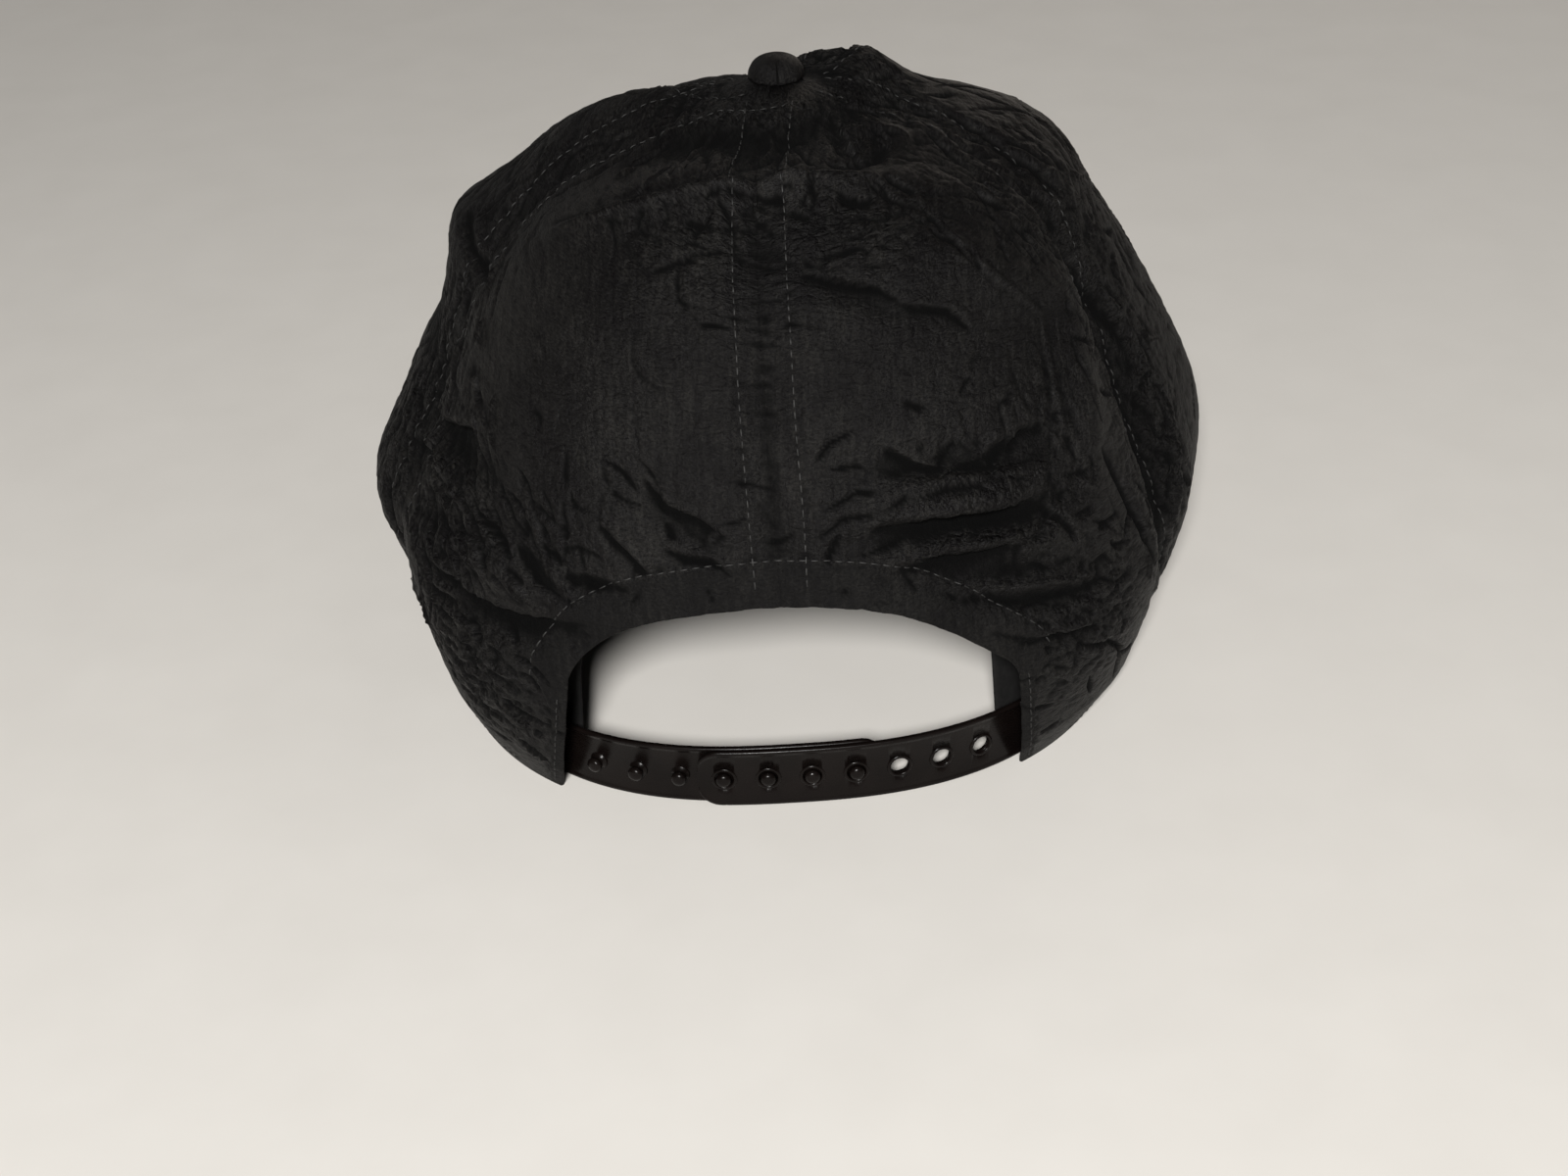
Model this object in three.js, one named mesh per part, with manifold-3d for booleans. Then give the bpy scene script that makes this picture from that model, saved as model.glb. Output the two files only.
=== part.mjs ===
// A snapback cap at rest on its brim and its rear rim: six sewn nylon panels, a covered button,
// a curved brim, a sweatband and a two-part plastic snap strap.
// Millimetres, +Z up, brim towards -Y, the wearer's left towards +X.

import * as THREE from "three";
import { mergeVertices } from "three/addons/utils/BufferGeometryUtils.js";
import Module from "manifold-3d";

const wasm = await Module();
wasm.setup();

const DEG = Math.PI / 180;

// Crown cloth and the gap that sewn pieces keep
const CLOTH = 1.5;
const GAP = 0.3;

// Edge of the rear opening over the snap strap, from the rim on the wearer's left to the rim on the right.
// x: place across the back; up: share of the way along the panel.
const OPENING = [
  { x: 53.5, up: 0 },
  { x: 47, up: 0.235 },
  { x: 45, up: 0.262 },
  { x: 40.5, up: 0.293 },
  { x: 32.5, up: 0.325 },
  { x: 21.5, up: 0.345 },
  { x: 10, up: 0.354 },
  { x: 0, up: 0.355 },
  { x: -13, up: 0.35 },
  { x: -25.5, up: 0.331 },
  { x: -35.5, up: 0.3 },
  { x: -44, up: 0.261 },
  { x: -50, up: 0.228 },
  { x: -51.5, up: 0.2 },
  { x: -54, up: 0 },
];
const OPENING_COLUMNS = 9;
const OPENING_ROWS = 5;

// Snap strap
const STRAP_WIDTH = 16.5;
const STRAP_THICK = 1.3;
const STRAP_LEAN = 1.6;
const SNAP_PITCH = 10;
const SNAP_COUNT = 7;
const SNAPS_CLOSED = 4;
const PEG_RADIUS = 1.8;
const PEG_PROUD = 1.3;
const HOLE_RADIUS = 2.15;
const STRAP_END_MARGIN = 6;
const STRAP_TAB = 13;

// Brim: an arched sheet that points a little down, its two side edges on the floor
const BRIM_HALF_WIDTH = 91;
const BRIM_FRONT = 167;
const BRIM_SQUARE = 3;
const BRIM_ARCH = 27;
const BRIM_LIFT = 1.86;
const BRIM_DOWN_FROM = 20;
const BRIM_DOWN_SLOPE = 0.06;
const BRIM_END = 78 * DEG;
const BRIM_TAPER = 12 * DEG;
const BRIM_TOP_THICK = 2.1;
const BRIM_UNDER_THICK = 0.9;
const BRIM_THICK = BRIM_TOP_THICK + GAP + BRIM_UNDER_THICK;

// Sweatband
const BAND_HEIGHT = 32;
const BAND_THICK = 1.2;
const BAND_LEAN = 2.5;

// Covered button
const BUTTON_RADIUS = 6.6;
const BUTTON_HEIGHT = 5;

// The rim is level at the back and starts to climb towards the brim's ends at this azimuth
const RIM_CLIMB_FROM = 50 * DEG;

// Horizontal sections of the crown, from the rim to the button.
// up: share of the way along the panel; height: above the floor at the back;
// left and right: half widths on +X and -X; back and front: reach on +Y and -Y; lean: shift on X;
// square: exponent of the outline, 2 for an ellipse.
const SECTIONS = [
  { up: 0.0, height: 0, left: 83, right: 86, back: 98, front: 97, lean: 0, square: 2.5 },
  { up: 0.08, height: 12, left: 88, right: 94, back: 103, front: 99, lean: 0, square: 2.4 },
  { up: 0.25, height: 42, left: 92, right: 102, back: 107, front: 98, lean: 0, square: 2.3 },
  { up: 0.43, height: 75, left: 80, right: 91, back: 103, front: 87, lean: 0, square: 2.2 },
  { up: 0.58, height: 101, left: 67, right: 79, back: 92, front: 60, lean: 0, square: 2.1 },
  { up: 0.73, height: 121, left: 51, right: 65, back: 77, front: 34, lean: -2, square: 2.1 },
  { up: 0.87, height: 132, left: 30, right: 38, back: 49, front: 15, lean: -5, square: 2 },
  { up: 1.0, height: 138, left: 0, right: 0, back: 0, front: 0, lean: -6, square: 2 },
];
const PANEL_LENGTH = 209;

// Main folds of the cloth below the top. azimuth: degrees from the back, positive to +X; up: as above;
// along and across: half length and half width in mm; turn: degrees of the fold's line from level;
// lift: mm outwards, negative inwards.
const FOLDS = [
  { azimuth: -23, up: 0.485, along: 21, across: 5.5, turn: 10, lift: -3.2 },
  { azimuth: -22, up: 0.42, along: 22, across: 5, turn: 0, lift: -3.2 },
  { azimuth: -27, up: 0.345, along: 24, across: 5.5, turn: 20, lift: -2.8 },
  { azimuth: -24, up: 0.452, along: 18, across: 5, turn: 5, lift: 2.2 },
  { azimuth: -27, up: 0.383, along: 19, across: 5, turn: 10, lift: 2.2 },
  { azimuth: -12, up: 0.72, along: 16, across: 4.5, turn: 40, lift: -1.8 },
  { azimuth: -40, up: 0.66, along: 34, across: 8, turn: 42, lift: 2.2 },
  { azimuth: -46, up: 0.49, along: 22, across: 7, turn: 110, lift: 2.4 },
  { azimuth: -61, up: 0.38, along: 36, across: 8, turn: 92, lift: -6 },
  { azimuth: -86, up: 0.34, along: 34, across: 16, turn: 90, lift: 3 },
  { azimuth: 11, up: 0.455, along: 14, across: 5, turn: 43, lift: -1.8 },
  { azimuth: 27, up: 0.385, along: 17, across: 5.5, turn: 10, lift: -2.6 },
  { azimuth: 33, up: 0.345, along: 20, across: 5.5, turn: 0, lift: 2.4 },
  { azimuth: 34, up: 0.3, along: 20, across: 6, turn: -7, lift: -3 },
  { azimuth: 50, up: 0.43, along: 20, across: 5.5, turn: -8, lift: -3 },
  { azimuth: 52, up: 0.39, along: 18, across: 5.5, turn: -8, lift: 2 },
  { azimuth: 53, up: 0.35, along: 18, across: 5.5, turn: -10, lift: -2.6 },
  { azimuth: 76, up: 0.28, along: 20, across: 15, turn: 0, lift: 5 },
  { azimuth: 88, up: 0.45, along: 26, across: 8, turn: 0, lift: -1.5 },
  { azimuth: 92, up: 0.585, along: 26, across: 10, turn: 0, lift: 5 },
  { azimuth: 112, up: 0.45, along: 36, across: 11, turn: 70, lift: -3 },
  { azimuth: -112, up: 0.48, along: 36, across: 11, turn: 105, lift: -3 },
];

// Folds over the top, placed in plan. turn: degrees of the fold's line from the X axis.
const TOP_FOLDS = [
  { x: 4, y: 45, along: 44, across: 9, turn: -4, lift: 3.4 }, // ridge over the back of the head
  { x: 3, y: 22, along: 32, across: 9, turn: 0, lift: -4 }, // hollow between ridge and button
  { x: -38, y: 22, along: 15, across: 8, turn: -30, lift: 2.5 },
  { x: -21, y: -4, along: 11, across: 10, turn: 0, lift: 9.5 }, // puff beside the button
  { x: 34, y: -6, along: 16, across: 12, turn: 20, lift: 1.5 },
];

// Seams between the panels, in degrees from the back.
// Each turns from its place on the rim to its place at the button, by a power of the way up.
const SEAMS = [
  { rim: 0, top: 14, power: 6 },
  { rim: 66, top: 80, power: 2 },
  { rim: 120, top: 130, power: 2 },
  { rim: 180, top: 180, power: 2 },
  { rim: 243, top: 240, power: 2 },
  { rim: 302, top: 296, power: 2 },
  { rim: 360, top: 374, power: 6 },
];

// Panels, each from its own seam to the next, with the cells of their grids
const PANELS = [
  { name: "crown_panel_back_left", columns: 18, rows: 30 },
  { name: "crown_panel_side_left", columns: 12, rows: 23 },
  { name: "crown_panel_front_left", columns: 10, rows: 16 },
  { name: "crown_panel_front_right", columns: 10, rows: 16 },
  { name: "crown_panel_side_right", columns: 12, rows: 23 },
  { name: "crown_panel_back_right", columns: 18, rows: 30 },
];
const SEAM_DIP = 1.6;
const SEAM_REACH = 5;
const PANEL_PUFF = 2.5;
const PANEL_TOP_RADIUS = 3.2;
const BUTTON_SEAT_RADIUS = 8.5;

const nylon = new THREE.MeshStandardMaterial({ color: 0x1d1d1f, roughness: 0.72, metalness: 0 });
const brimCloth = new THREE.MeshStandardMaterial({ color: 0x1c1c1e, roughness: 0.8, metalness: 0 });
const bandCloth = new THREE.MeshStandardMaterial({ color: 0x171718, roughness: 0.9, metalness: 0 });
const plastic = new THREE.MeshStandardMaterial({ color: 0x120e0d, roughness: 0.32, metalness: 0 });

const clamp01 = (value) => Math.min(1, Math.max(0, value));

function smoothStep(low, high, value) {
  const t = clamp01((value - low) / (high - low));
  return t * t * (3 - 2 * t);
}

// The signed angle from one azimuth to another, within half a turn
function turnTo(from, to) {
  const turn = (to - from) % (2 * Math.PI);
  if (turn > Math.PI) return turn - 2 * Math.PI;
  return turn < -Math.PI ? turn + 2 * Math.PI : turn;
}

// Sections continued past the rim in a straight line, and past the button as their mirror image
function extendedSections() {
  const [first, second] = SECTIONS;
  const last = SECTIONS[SECTIONS.length - 1];
  const beforeLast = SECTIONS[SECTIONS.length - 2];
  const below = {};
  for (const key of Object.keys(first)) below[key] = 2 * first[key] - second[key];
  const beyond = { ...beforeLast, up: 2 * last.up - beforeLast.up };
  for (const key of ["left", "right", "back", "front"]) beyond[key] = -beforeLast[key];
  return [below, ...SECTIONS, beyond];
}
const KNOTS = extendedSections();

// The section at any share of the way up, on smooth curves through the table
function sectionAt(up) {
  let k = 1;
  while (k < KNOTS.length - 3 && up >= KNOTS[k + 1].up) k += 1;
  const [a, b, c, d] = KNOTS.slice(k - 1, k + 3);
  const span = c.up - b.up;
  const s = (up - b.up) / span;
  const made = {};
  for (const key of Object.keys(b)) {
    const slopeB = ((c[key] - a[key]) / (c.up - a.up)) * span;
    const slopeC = ((d[key] - b[key]) / (d.up - b.up)) * span;
    made[key] =
      (2 * s ** 3 - 3 * s ** 2 + 1) * b[key] +
      (s ** 3 - 2 * s ** 2 + s) * slopeB +
      (3 * s ** 2 - 2 * s ** 3) * c[key] +
      (s ** 3 - s ** 2) * slopeC;
  }
  return made;
}

// Distance from the button's axis to a squared ellipse, in the direction of the azimuth
function reachOf(halfWidth, length, square, azimuth) {
  const across = Math.abs(Math.sin(azimuth)) / Math.max(halfWidth, 1e-3);
  const ahead = Math.abs(Math.cos(azimuth)) / Math.max(length, 1e-3);
  return (across ** square + ahead ** square) ** (-1 / square);
}

function sectionReach(section, azimuth) {
  const halfWidth = Math.sin(azimuth) >= 0 ? section.left : section.right;
  const length = Math.cos(azimuth) >= 0 ? section.back : section.front;
  return reachOf(halfWidth, length, section.square, azimuth);
}

function brimUnderHeight(x, y) {
  const arch = BRIM_ARCH * (1 - (x / BRIM_HALF_WIDTH) ** 2);
  return BRIM_LIFT + arch - BRIM_DOWN_SLOPE * Math.max(0, -y - BRIM_DOWN_FROM);
}

const seatHeight = (x, y) => brimUnderHeight(x, y) + BRIM_THICK + GAP;

// The rim lies on the brim's top over the front half, and comes down to the floor towards the back
function rimHeight(azimuth) {
  const reach = sectionReach(SECTIONS[0], azimuth);
  if (Math.cos(azimuth) <= 0) return seatHeight(reach * Math.sin(azimuth), reach * Math.cos(azimuth));
  const side = Math.sin(azimuth) >= 0 ? SECTIONS[0].left : SECTIONS[0].right;
  const fromBack = Math.abs(turnTo(0, azimuth));
  return seatHeight(side, 0) * smoothStep(RIM_CLIMB_FROM, Math.PI / 2, fromBack);
}

function smoothCrown(azimuth, up) {
  const section = sectionAt(up);
  const reach = sectionReach(section, azimuth);
  return new THREE.Vector3(
    reach * Math.sin(azimuth) + section.lean,
    reach * Math.cos(azimuth),
    section.height + rimHeight(azimuth) * (1 - up) ** 2,
  );
}

// Outward normal of a surface given as point(azimuth, up)
function normalOf(point, azimuth, up) {
  const turn = 0.6 * DEG;
  const rise = 0.004;
  const low = Math.max(up - rise, 0);
  const alongUp = point(azimuth, Math.min(up + rise, 1)).sub(point(azimuth, low));
  const alongTurn = point(azimuth + turn, up).sub(point(azimuth - turn, up));
  return alongUp.cross(alongTurn).normalize();
}

function foldLift(fold, azimuth, up, reach) {
  const east = turnTo(fold.azimuth * DEG, azimuth) * reach;
  const north = (up - fold.up) * PANEL_LENGTH;
  const turn = fold.turn * DEG;
  const along = (east * Math.cos(turn) + north * Math.sin(turn)) / fold.along;
  const across = (north * Math.cos(turn) - east * Math.sin(turn)) / fold.across;
  return fold.lift * Math.exp(-(along ** 2) - across ** 2);
}

function seamAzimuth(k, up) {
  const { rim, top, power } = SEAMS[k];
  return (rim + (top - rim) * up ** power) * DEG;
}

function planLift(fold, base) {
  const turn = fold.turn * DEG;
  const along = ((base.x - fold.x) * Math.cos(turn) + (base.y - fold.y) * Math.sin(turn)) / fold.along;
  const across = ((base.y - fold.y) * Math.cos(turn) - (base.x - fold.x) * Math.sin(turn)) / fold.across;
  const atTop = smoothStep(70, 100, base.z);
  return fold.lift * atTop * Math.exp(-(along ** 2) - across ** 2);
}

// Each panel swells between its seams, and dips at them
function panelLift(azimuth, up, reach) {
  let turned = ((azimuth % (2 * Math.PI)) + 2 * Math.PI) % (2 * Math.PI);
  if (turned < seamAzimuth(0, up)) turned += 2 * Math.PI;
  const last = SEAMS.findIndex((seam, k) => k > 0 && turned <= seamAzimuth(k, up));
  const low = seamAzimuth(last - 1, up);
  const high = seamAzimuth(last, up);
  const share = (turned - low) / (high - low);
  const edge = Math.min(turned - low, high - turned) * reach;
  const swell = PANEL_PUFF * 4 * share * (1 - share) * Math.sin(Math.PI * clamp01(up)) ** 0.7;
  return swell - SEAM_DIP * Math.exp(-((edge / SEAM_REACH) ** 2)) * smoothStep(0, 0.06, up);
}

function crownPoint(azimuth, up) {
  const base = smoothCrown(azimuth, up);
  const reach = Math.hypot(base.x, base.y);
  let lift = panelLift(azimuth, up, reach);
  for (const fold of FOLDS) lift += foldLift(fold, azimuth, up, reach);
  for (const fold of TOP_FOLDS) lift += planLift(fold, base);
  const hold = smoothStep(0, 0.1, up) * smoothStep(0.035, 0.1, 1 - up);
  return base.addScaledVector(normalOf(smoothCrown, azimuth, up), lift * hold);
}

// A closed shell from a grid of outer and inner points, over the cells that are kept
function shellGeometry(columns, rows, outerPoint, innerPoint, keeps = () => true) {
  const positions = [];
  const faces = [];
  const stride = rows + 1;
  const inner = (columns + 1) * stride;
  for (const point of [outerPoint, innerPoint])
    for (let i = 0; i <= columns; i += 1)
      for (let j = 0; j <= rows; j += 1) positions.push(...point(i, j).toArray());
  const kept = (i, j) => i >= 0 && i < columns && j >= 0 && j < rows && keeps(i, j);
  const at = (i, j) => i * stride + j;
  const gap = (p, q) => Math.hypot(...[0, 1, 2].map((k) => positions[3 * p + k] - positions[3 * q + k]));
  const wall = (p, q) => faces.push(q, p, p + inner, q, p + inner, q + inner);
  for (let i = 0; i < columns; i += 1)
    for (let j = 0; j < rows; j += 1) {
      if (!kept(i, j)) continue;
      const [a, b, c, d] = [at(i, j), at(i, j + 1), at(i + 1, j + 1), at(i + 1, j)];
      const halves = gap(a, c) < gap(b, d) ? [a, b, c, a, c, d] : [a, b, d, b, c, d];
      faces.push(...halves, ...halves.map((p) => p + inner).reverse());
      if (!kept(i - 1, j)) wall(a, b);
      if (!kept(i, j + 1)) wall(b, c);
      if (!kept(i + 1, j)) wall(c, d);
      if (!kept(i, j - 1)) wall(d, a);
    }
  const geometry = new THREE.BufferGeometry();
  geometry.setAttribute("position", new THREE.Float32BufferAttribute(positions, 3));
  geometry.setIndex(faces);
  geometry.computeVertexNormals();
  return geometry;
}

// The azimuth at which a section of the crown passes a place across the back
function azimuthAtX(x, up) {
  const section = sectionAt(up);
  let low = 0;
  let high = Math.PI / 2;
  for (let k = 0; k < 40; k += 1) {
    const middle = (low + high) / 2;
    const width = sectionReach(section, Math.sign(x) * middle) * Math.sin(middle);
    if (width < Math.abs(x)) low = middle;
    else high = middle;
  }
  return Math.sign(x) * low;
}

// How far up the panel the opening reaches at a place across the back
function openingUp(x) {
  const next = Math.max(1, OPENING.findIndex((row) => row.x <= x + 1e-6));
  const [a, b] = [OPENING[next - 1], OPENING[next]];
  return a.up + ((b.up - a.up) * (x - a.x)) / (b.x - a.x);
}

// One panel between two seams. A back panel leaves out the cells under the opening's edge.
function crownPanel({ columns, rows }, index) {
  const side = index === 0 ? 1 : index === PANELS.length - 1 ? -1 : 0;
  const [openFoot, openEnd] = side > 0 ? OPENING : [...OPENING].reverse();
  const topUp = 1 - PANEL_TOP_RADIUS / PANEL_LENGTH;
  const seatUp = 1 - BUTTON_SEAT_RADIUS / PANEL_LENGTH;
  const openRows = side ? OPENING_ROWS : 0;

  // On a back panel the columns are counted from the centre-back seam, over the opening and past its end
  const columnX = (k) => {
    const share = Math.min(k / OPENING_COLUMNS, 1);
    return (openEnd.x * (share + Math.sin((share * Math.PI) / 2))) / 2;
  };
  const upOf = (k, j) => {
    if (j === rows) return topUp;
    const edge = side ? openingUp(columnX(k)) : 0;
    if (j < openRows) return (openEnd.up * j) / openRows;
    return edge + ((seatUp - edge) * (j - openRows)) / (rows - 1 - openRows);
  };
  const place = (i, j) => {
    const k = side < 0 ? columns - i : i;
    const up = upOf(k, j);
    const low = seamAzimuth(index, up);
    const high = seamAzimuth(index + 1, up);
    let azimuth = low + ((high - low) * i) / columns;
    if (side) {
      const drop = Math.max(0, 1 - up / openEnd.up);
      const x = columnX(k) + (openFoot.x - openEnd.x) * drop;
      const past = Math.max(0, k - OPENING_COLUMNS) / (columns - OPENING_COLUMNS);
      const near = Math.max(0, 1 - k / OPENING_COLUMNS);
      const turned = azimuthAtX(x, Math.min(up, openingUp(columnX(k)))) + seamAzimuth(0, up) * near;
      const seam = side > 0 ? high : low - 2 * Math.PI;
      azimuth = turned + (seam - turned) * past;
    }
    const inset = GAP / 2 / Math.max(sectionReach(sectionAt(up), azimuth), 1);
    if (i === 0) azimuth += inset;
    if (i === columns) azimuth -= inset;
    return [azimuth, up];
  };
  const outer = (i, j) => crownPoint(...place(i, j));
  const inner = (i, j) => {
    const [azimuth, up] = place(i, j);
    const normal = normalOf(crownPoint, azimuth, up);
    if (j === 0) normal.setZ(0).normalize();
    const point = crownPoint(azimuth, up).addScaledVector(normal, -CLOTH);
    if (j === 0 && Math.cos(azimuth) <= 0) point.setZ(seatHeight(point.x, point.y));
    return point;
  };
  const keeps = (i, j) => {
    const k = side < 0 ? columns - 1 - i : i;
    return !(side && k < OPENING_COLUMNS && j < openRows);
  };
  return shellGeometry(columns, rows, outer, inner, keeps);
}

// A point on the rim's outline in plan, moved inwards by an inset
function rimPlan(azimuth, inset) {
  const section = SECTIONS[0];
  const at = (turn) => {
    const reach = sectionReach(section, turn);
    return new THREE.Vector2(reach * Math.sin(turn), reach * Math.cos(turn));
  };
  const along = at(azimuth + 0.5 * DEG).sub(at(azimuth - 0.5 * DEG)).normalize();
  return at(azimuth).add(new THREE.Vector2(along.y, -along.x).multiplyScalar(inset));
}

// The azimuth at a distance along the rim from the centre back, positive to +X
function azimuthAlongRim(distance, inset) {
  const step = 0.25 * DEG * Math.sign(distance);
  let azimuth = 0;
  let walked = 0;
  let last = rimPlan(0, inset);
  while (walked < Math.abs(distance)) {
    const next = rimPlan(azimuth + step, inset);
    const length = next.distanceTo(last);
    const share = Math.min(1, (Math.abs(distance) - walked) / length);
    azimuth += step * share;
    walked += length;
    last = next;
  }
  return azimuth;
}

// A point of the strap: distance along it from the centre back, height up its face and depth out of it
function strapPoint(distance, height, depth, inset) {
  const azimuth = azimuthAlongRim(distance, inset);
  const lean = STRAP_LEAN * (height / STRAP_WIDTH - 0.5);
  const plan = rimPlan(azimuth, inset - depth - lean);
  return new THREE.Vector3(plan.x, plan.y, height);
}

function solidOf(geometry) {
  const bare = geometry.clone();
  bare.deleteAttribute("normal");
  bare.deleteAttribute("uv");
  const merged = mergeVertices(bare, 1e-4);
  return new wasm.Manifold(
    new wasm.Mesh({
      numProp: 3,
      vertProperties: merged.attributes.position.array,
      triVerts: new Uint32Array(merged.index.array),
    }),
  );
}

function geometryOf(solid) {
  const mesh = solid.getMesh();
  const geometry = new THREE.BufferGeometry();
  geometry.setAttribute("position", new THREE.BufferAttribute(mesh.vertProperties, 3));
  geometry.setIndex(new THREE.BufferAttribute(mesh.triVerts, 1));
  geometry.computeVertexNormals();
  return geometry;
}

// The strap's strip from its sewn end to its rounded free end
function strapStrip(sewnEnd, freeEnd, inset) {
  const columns = 20;
  const rows = 1;
  const corner = 5;
  const cornerColumns = 5;
  const bottom = GAP;
  const side = Math.sign(freeEnd - sewnEnd);
  const distanceOf = (i) => {
    const left = (columns - i) / cornerColumns;
    if (left <= 1) return freeEnd - side * corner * (1 - Math.cos((left * Math.PI) / 2));
    const straight = freeEnd - side * corner;
    return sewnEnd + ((straight - sewnEnd) * i) / (columns - cornerColumns);
  };
  // The free end's two corners are quarter rounds
  const heightOf = (i, j) => {
    const past = Math.max(0, corner - Math.abs(freeEnd - distanceOf(i)));
    const cut = corner - Math.sqrt(Math.max(corner ** 2 - past ** 2, 0));
    return bottom + cut + ((STRAP_WIDTH - bottom - 2 * cut) * j) / rows;
  };
  const face = (depth) => (i, j) => strapPoint(distanceOf(i), heightOf(i, j), depth, inset);
  const [outside, inside] = [face(STRAP_THICK / 2), face(-STRAP_THICK / 2)];
  if (side > 0) return shellGeometry(columns, rows, outside, inside);
  const flip = (point) => (i, j) => point(columns - i, j);
  return shellGeometry(columns, rows, flip(outside), flip(inside));
}

// A short round post standing square on the strap at a distance along it
function postOnStrap(distance, inset, radius, low, high, domed) {
  const profile = [new THREE.Vector2(0, low), new THREE.Vector2(radius, low)];
  if (domed) {
    profile.push(new THREE.Vector2(radius, high - radius * 0.5));
    profile.push(new THREE.Vector2(radius * 0.72, high - radius * 0.14));
  } else profile.push(new THREE.Vector2(radius, high));
  profile.push(new THREE.Vector2(0, high));
  const geometry = new THREE.LatheGeometry(profile, 12);
  const middle = (GAP + STRAP_WIDTH) / 2;
  const foot = strapPoint(distance, middle, 0, inset);
  const out = strapPoint(distance, middle, 1, inset).sub(foot).normalize();
  geometry.applyQuaternion(new THREE.Quaternion().setFromUnitVectors(new THREE.Vector3(0, 1, 0), out));
  return geometry.translate(foot.x, foot.y, foot.z);
}

// Where each snap lies along the strap: the peg strap comes from +X, and the closed snaps sit at the middle
const HOLE_STRAP_INSET = CLOTH + GAP + STRAP_THICK / 2;
const PEG_STRAP_INSET = HOLE_STRAP_INSET + STRAP_THICK + GAP;
const pegAt = (k) => (k - (SNAPS_CLOSED - 1) / 2) * SNAP_PITCH;
const holeAt = (k) => -pegAt(k);
const OPENING_EDGE = 54;

function pegStrap() {
  const freeEnd = pegAt(0) - STRAP_END_MARGIN;
  let solid = solidOf(strapStrip(OPENING_EDGE + STRAP_TAB, freeEnd, PEG_STRAP_INSET));
  const top = STRAP_THICK / 2 + GAP + STRAP_THICK + PEG_PROUD;
  for (let k = 0; k < SNAP_COUNT; k += 1)
    solid = solid.add(solidOf(postOnStrap(pegAt(k), PEG_STRAP_INSET, PEG_RADIUS, 0, top, true)));
  return geometryOf(solid);
}

function holeStrap() {
  const freeEnd = holeAt(0) + STRAP_END_MARGIN;
  let solid = solidOf(strapStrip(-OPENING_EDGE - STRAP_TAB, freeEnd, HOLE_STRAP_INSET));
  for (let k = 0; k < SNAP_COUNT; k += 1)
    solid = solid.subtract(solidOf(postOnStrap(holeAt(k), HOLE_STRAP_INSET, HOLE_RADIUS, -3, 3, false)));
  return geometryOf(solid);
}

// How far the brim stands out from the rim, at an angle from the front
function brimReach(fromFront) {
  const azimuth = Math.PI + fromFront;
  const rim = sectionReach(SECTIONS[0], azimuth);
  const edge = reachOf(BRIM_HALF_WIDTH, BRIM_FRONT, BRIM_SQUARE, azimuth);
  const taper = Math.sqrt(clamp01((BRIM_END - Math.abs(fromFront)) / BRIM_TAPER));
  return Math.max((edge - rim) * taper, 0) + 0.4;
}

// One layer of the brim between two heights above its underside
function brimLayer(low, high) {
  const columns = 28;
  const rows = 4;
  const at = (height) => (i, j) => {
    const fromFront = BRIM_END * ((2 * i) / columns - 1);
    const azimuth = Math.PI + fromFront;
    const inside = rimPlan(azimuth, CLOTH);
    const out = sectionReach(SECTIONS[0], azimuth) + brimReach(fromFront);
    const edge = new THREE.Vector2(out * Math.sin(azimuth), out * Math.cos(azimuth));
    const plan = inside.lerp(edge, 1 - j / rows);
    const x = THREE.MathUtils.clamp(plan.x, -BRIM_HALF_WIDTH, BRIM_HALF_WIDTH);
    return new THREE.Vector3(plan.x, plan.y, brimUnderHeight(x, plan.y) + height);
  };
  return shellGeometry(columns, rows, at(high), at(low));
}

function sweatband() {
  const columns = 48;
  const rows = 1;
  const start = azimuthAlongRim(OPENING_EDGE + 1, 0);
  const sweep = 2 * (Math.PI - start);
  const behindStrap = PEG_STRAP_INSET + (STRAP_THICK + STRAP_LEAN) / 2 + 2 * GAP;
  const tabEnd = azimuthAlongRim(OPENING_EDGE + STRAP_TAB + 3, PEG_STRAP_INSET);
  const at = (depth) => (i, j) => {
    const azimuth = start + (sweep * i) / columns;
    const fromBack = Math.abs(turnTo(0, azimuth));
    const clear = 1 - smoothStep(tabEnd, tabEnd + 8 * DEG, fromBack);
    const inset = CLOTH + GAP + (behindStrap - CLOTH - GAP) * clear + depth + (BAND_LEAN * j) / rows;
    const plan = rimPlan(azimuth, inset);
    const foot = Math.max(rimHeight(azimuth) - BRIM_THICK, 0) + GAP;
    return new THREE.Vector3(plan.x, plan.y, foot + (BAND_HEIGHT * j) / rows);
  };
  return shellGeometry(columns, rows, at(0), at(BAND_THICK));
}

function topButton() {
  const crown = crownPoint(0, 1);
  const profile = [new THREE.Vector2(0, GAP), new THREE.Vector2(BUTTON_RADIUS * 0.93, GAP - 0.2)];
  const rings = 6;
  for (let k = 0; k < rings; k += 1) {
    const turn = (k / rings) * 90 * DEG;
    const height = 1 + (BUTTON_HEIGHT - 1) * Math.sin(turn);
    profile.push(new THREE.Vector2(BUTTON_RADIUS * Math.cos(turn), height));
  }
  profile.push(new THREE.Vector2(0, BUTTON_HEIGHT));
  const geometry = new THREE.LatheGeometry(profile, 20).rotateX(Math.PI / 2);
  return geometry.translate(crown.x, crown.y, crown.z);
}

const cap = new THREE.Group();

function addPiece(name, geometry, material) {
  const mesh = new THREE.Mesh(geometry, material);
  mesh.name = name;
  cap.add(mesh);
}

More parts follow.
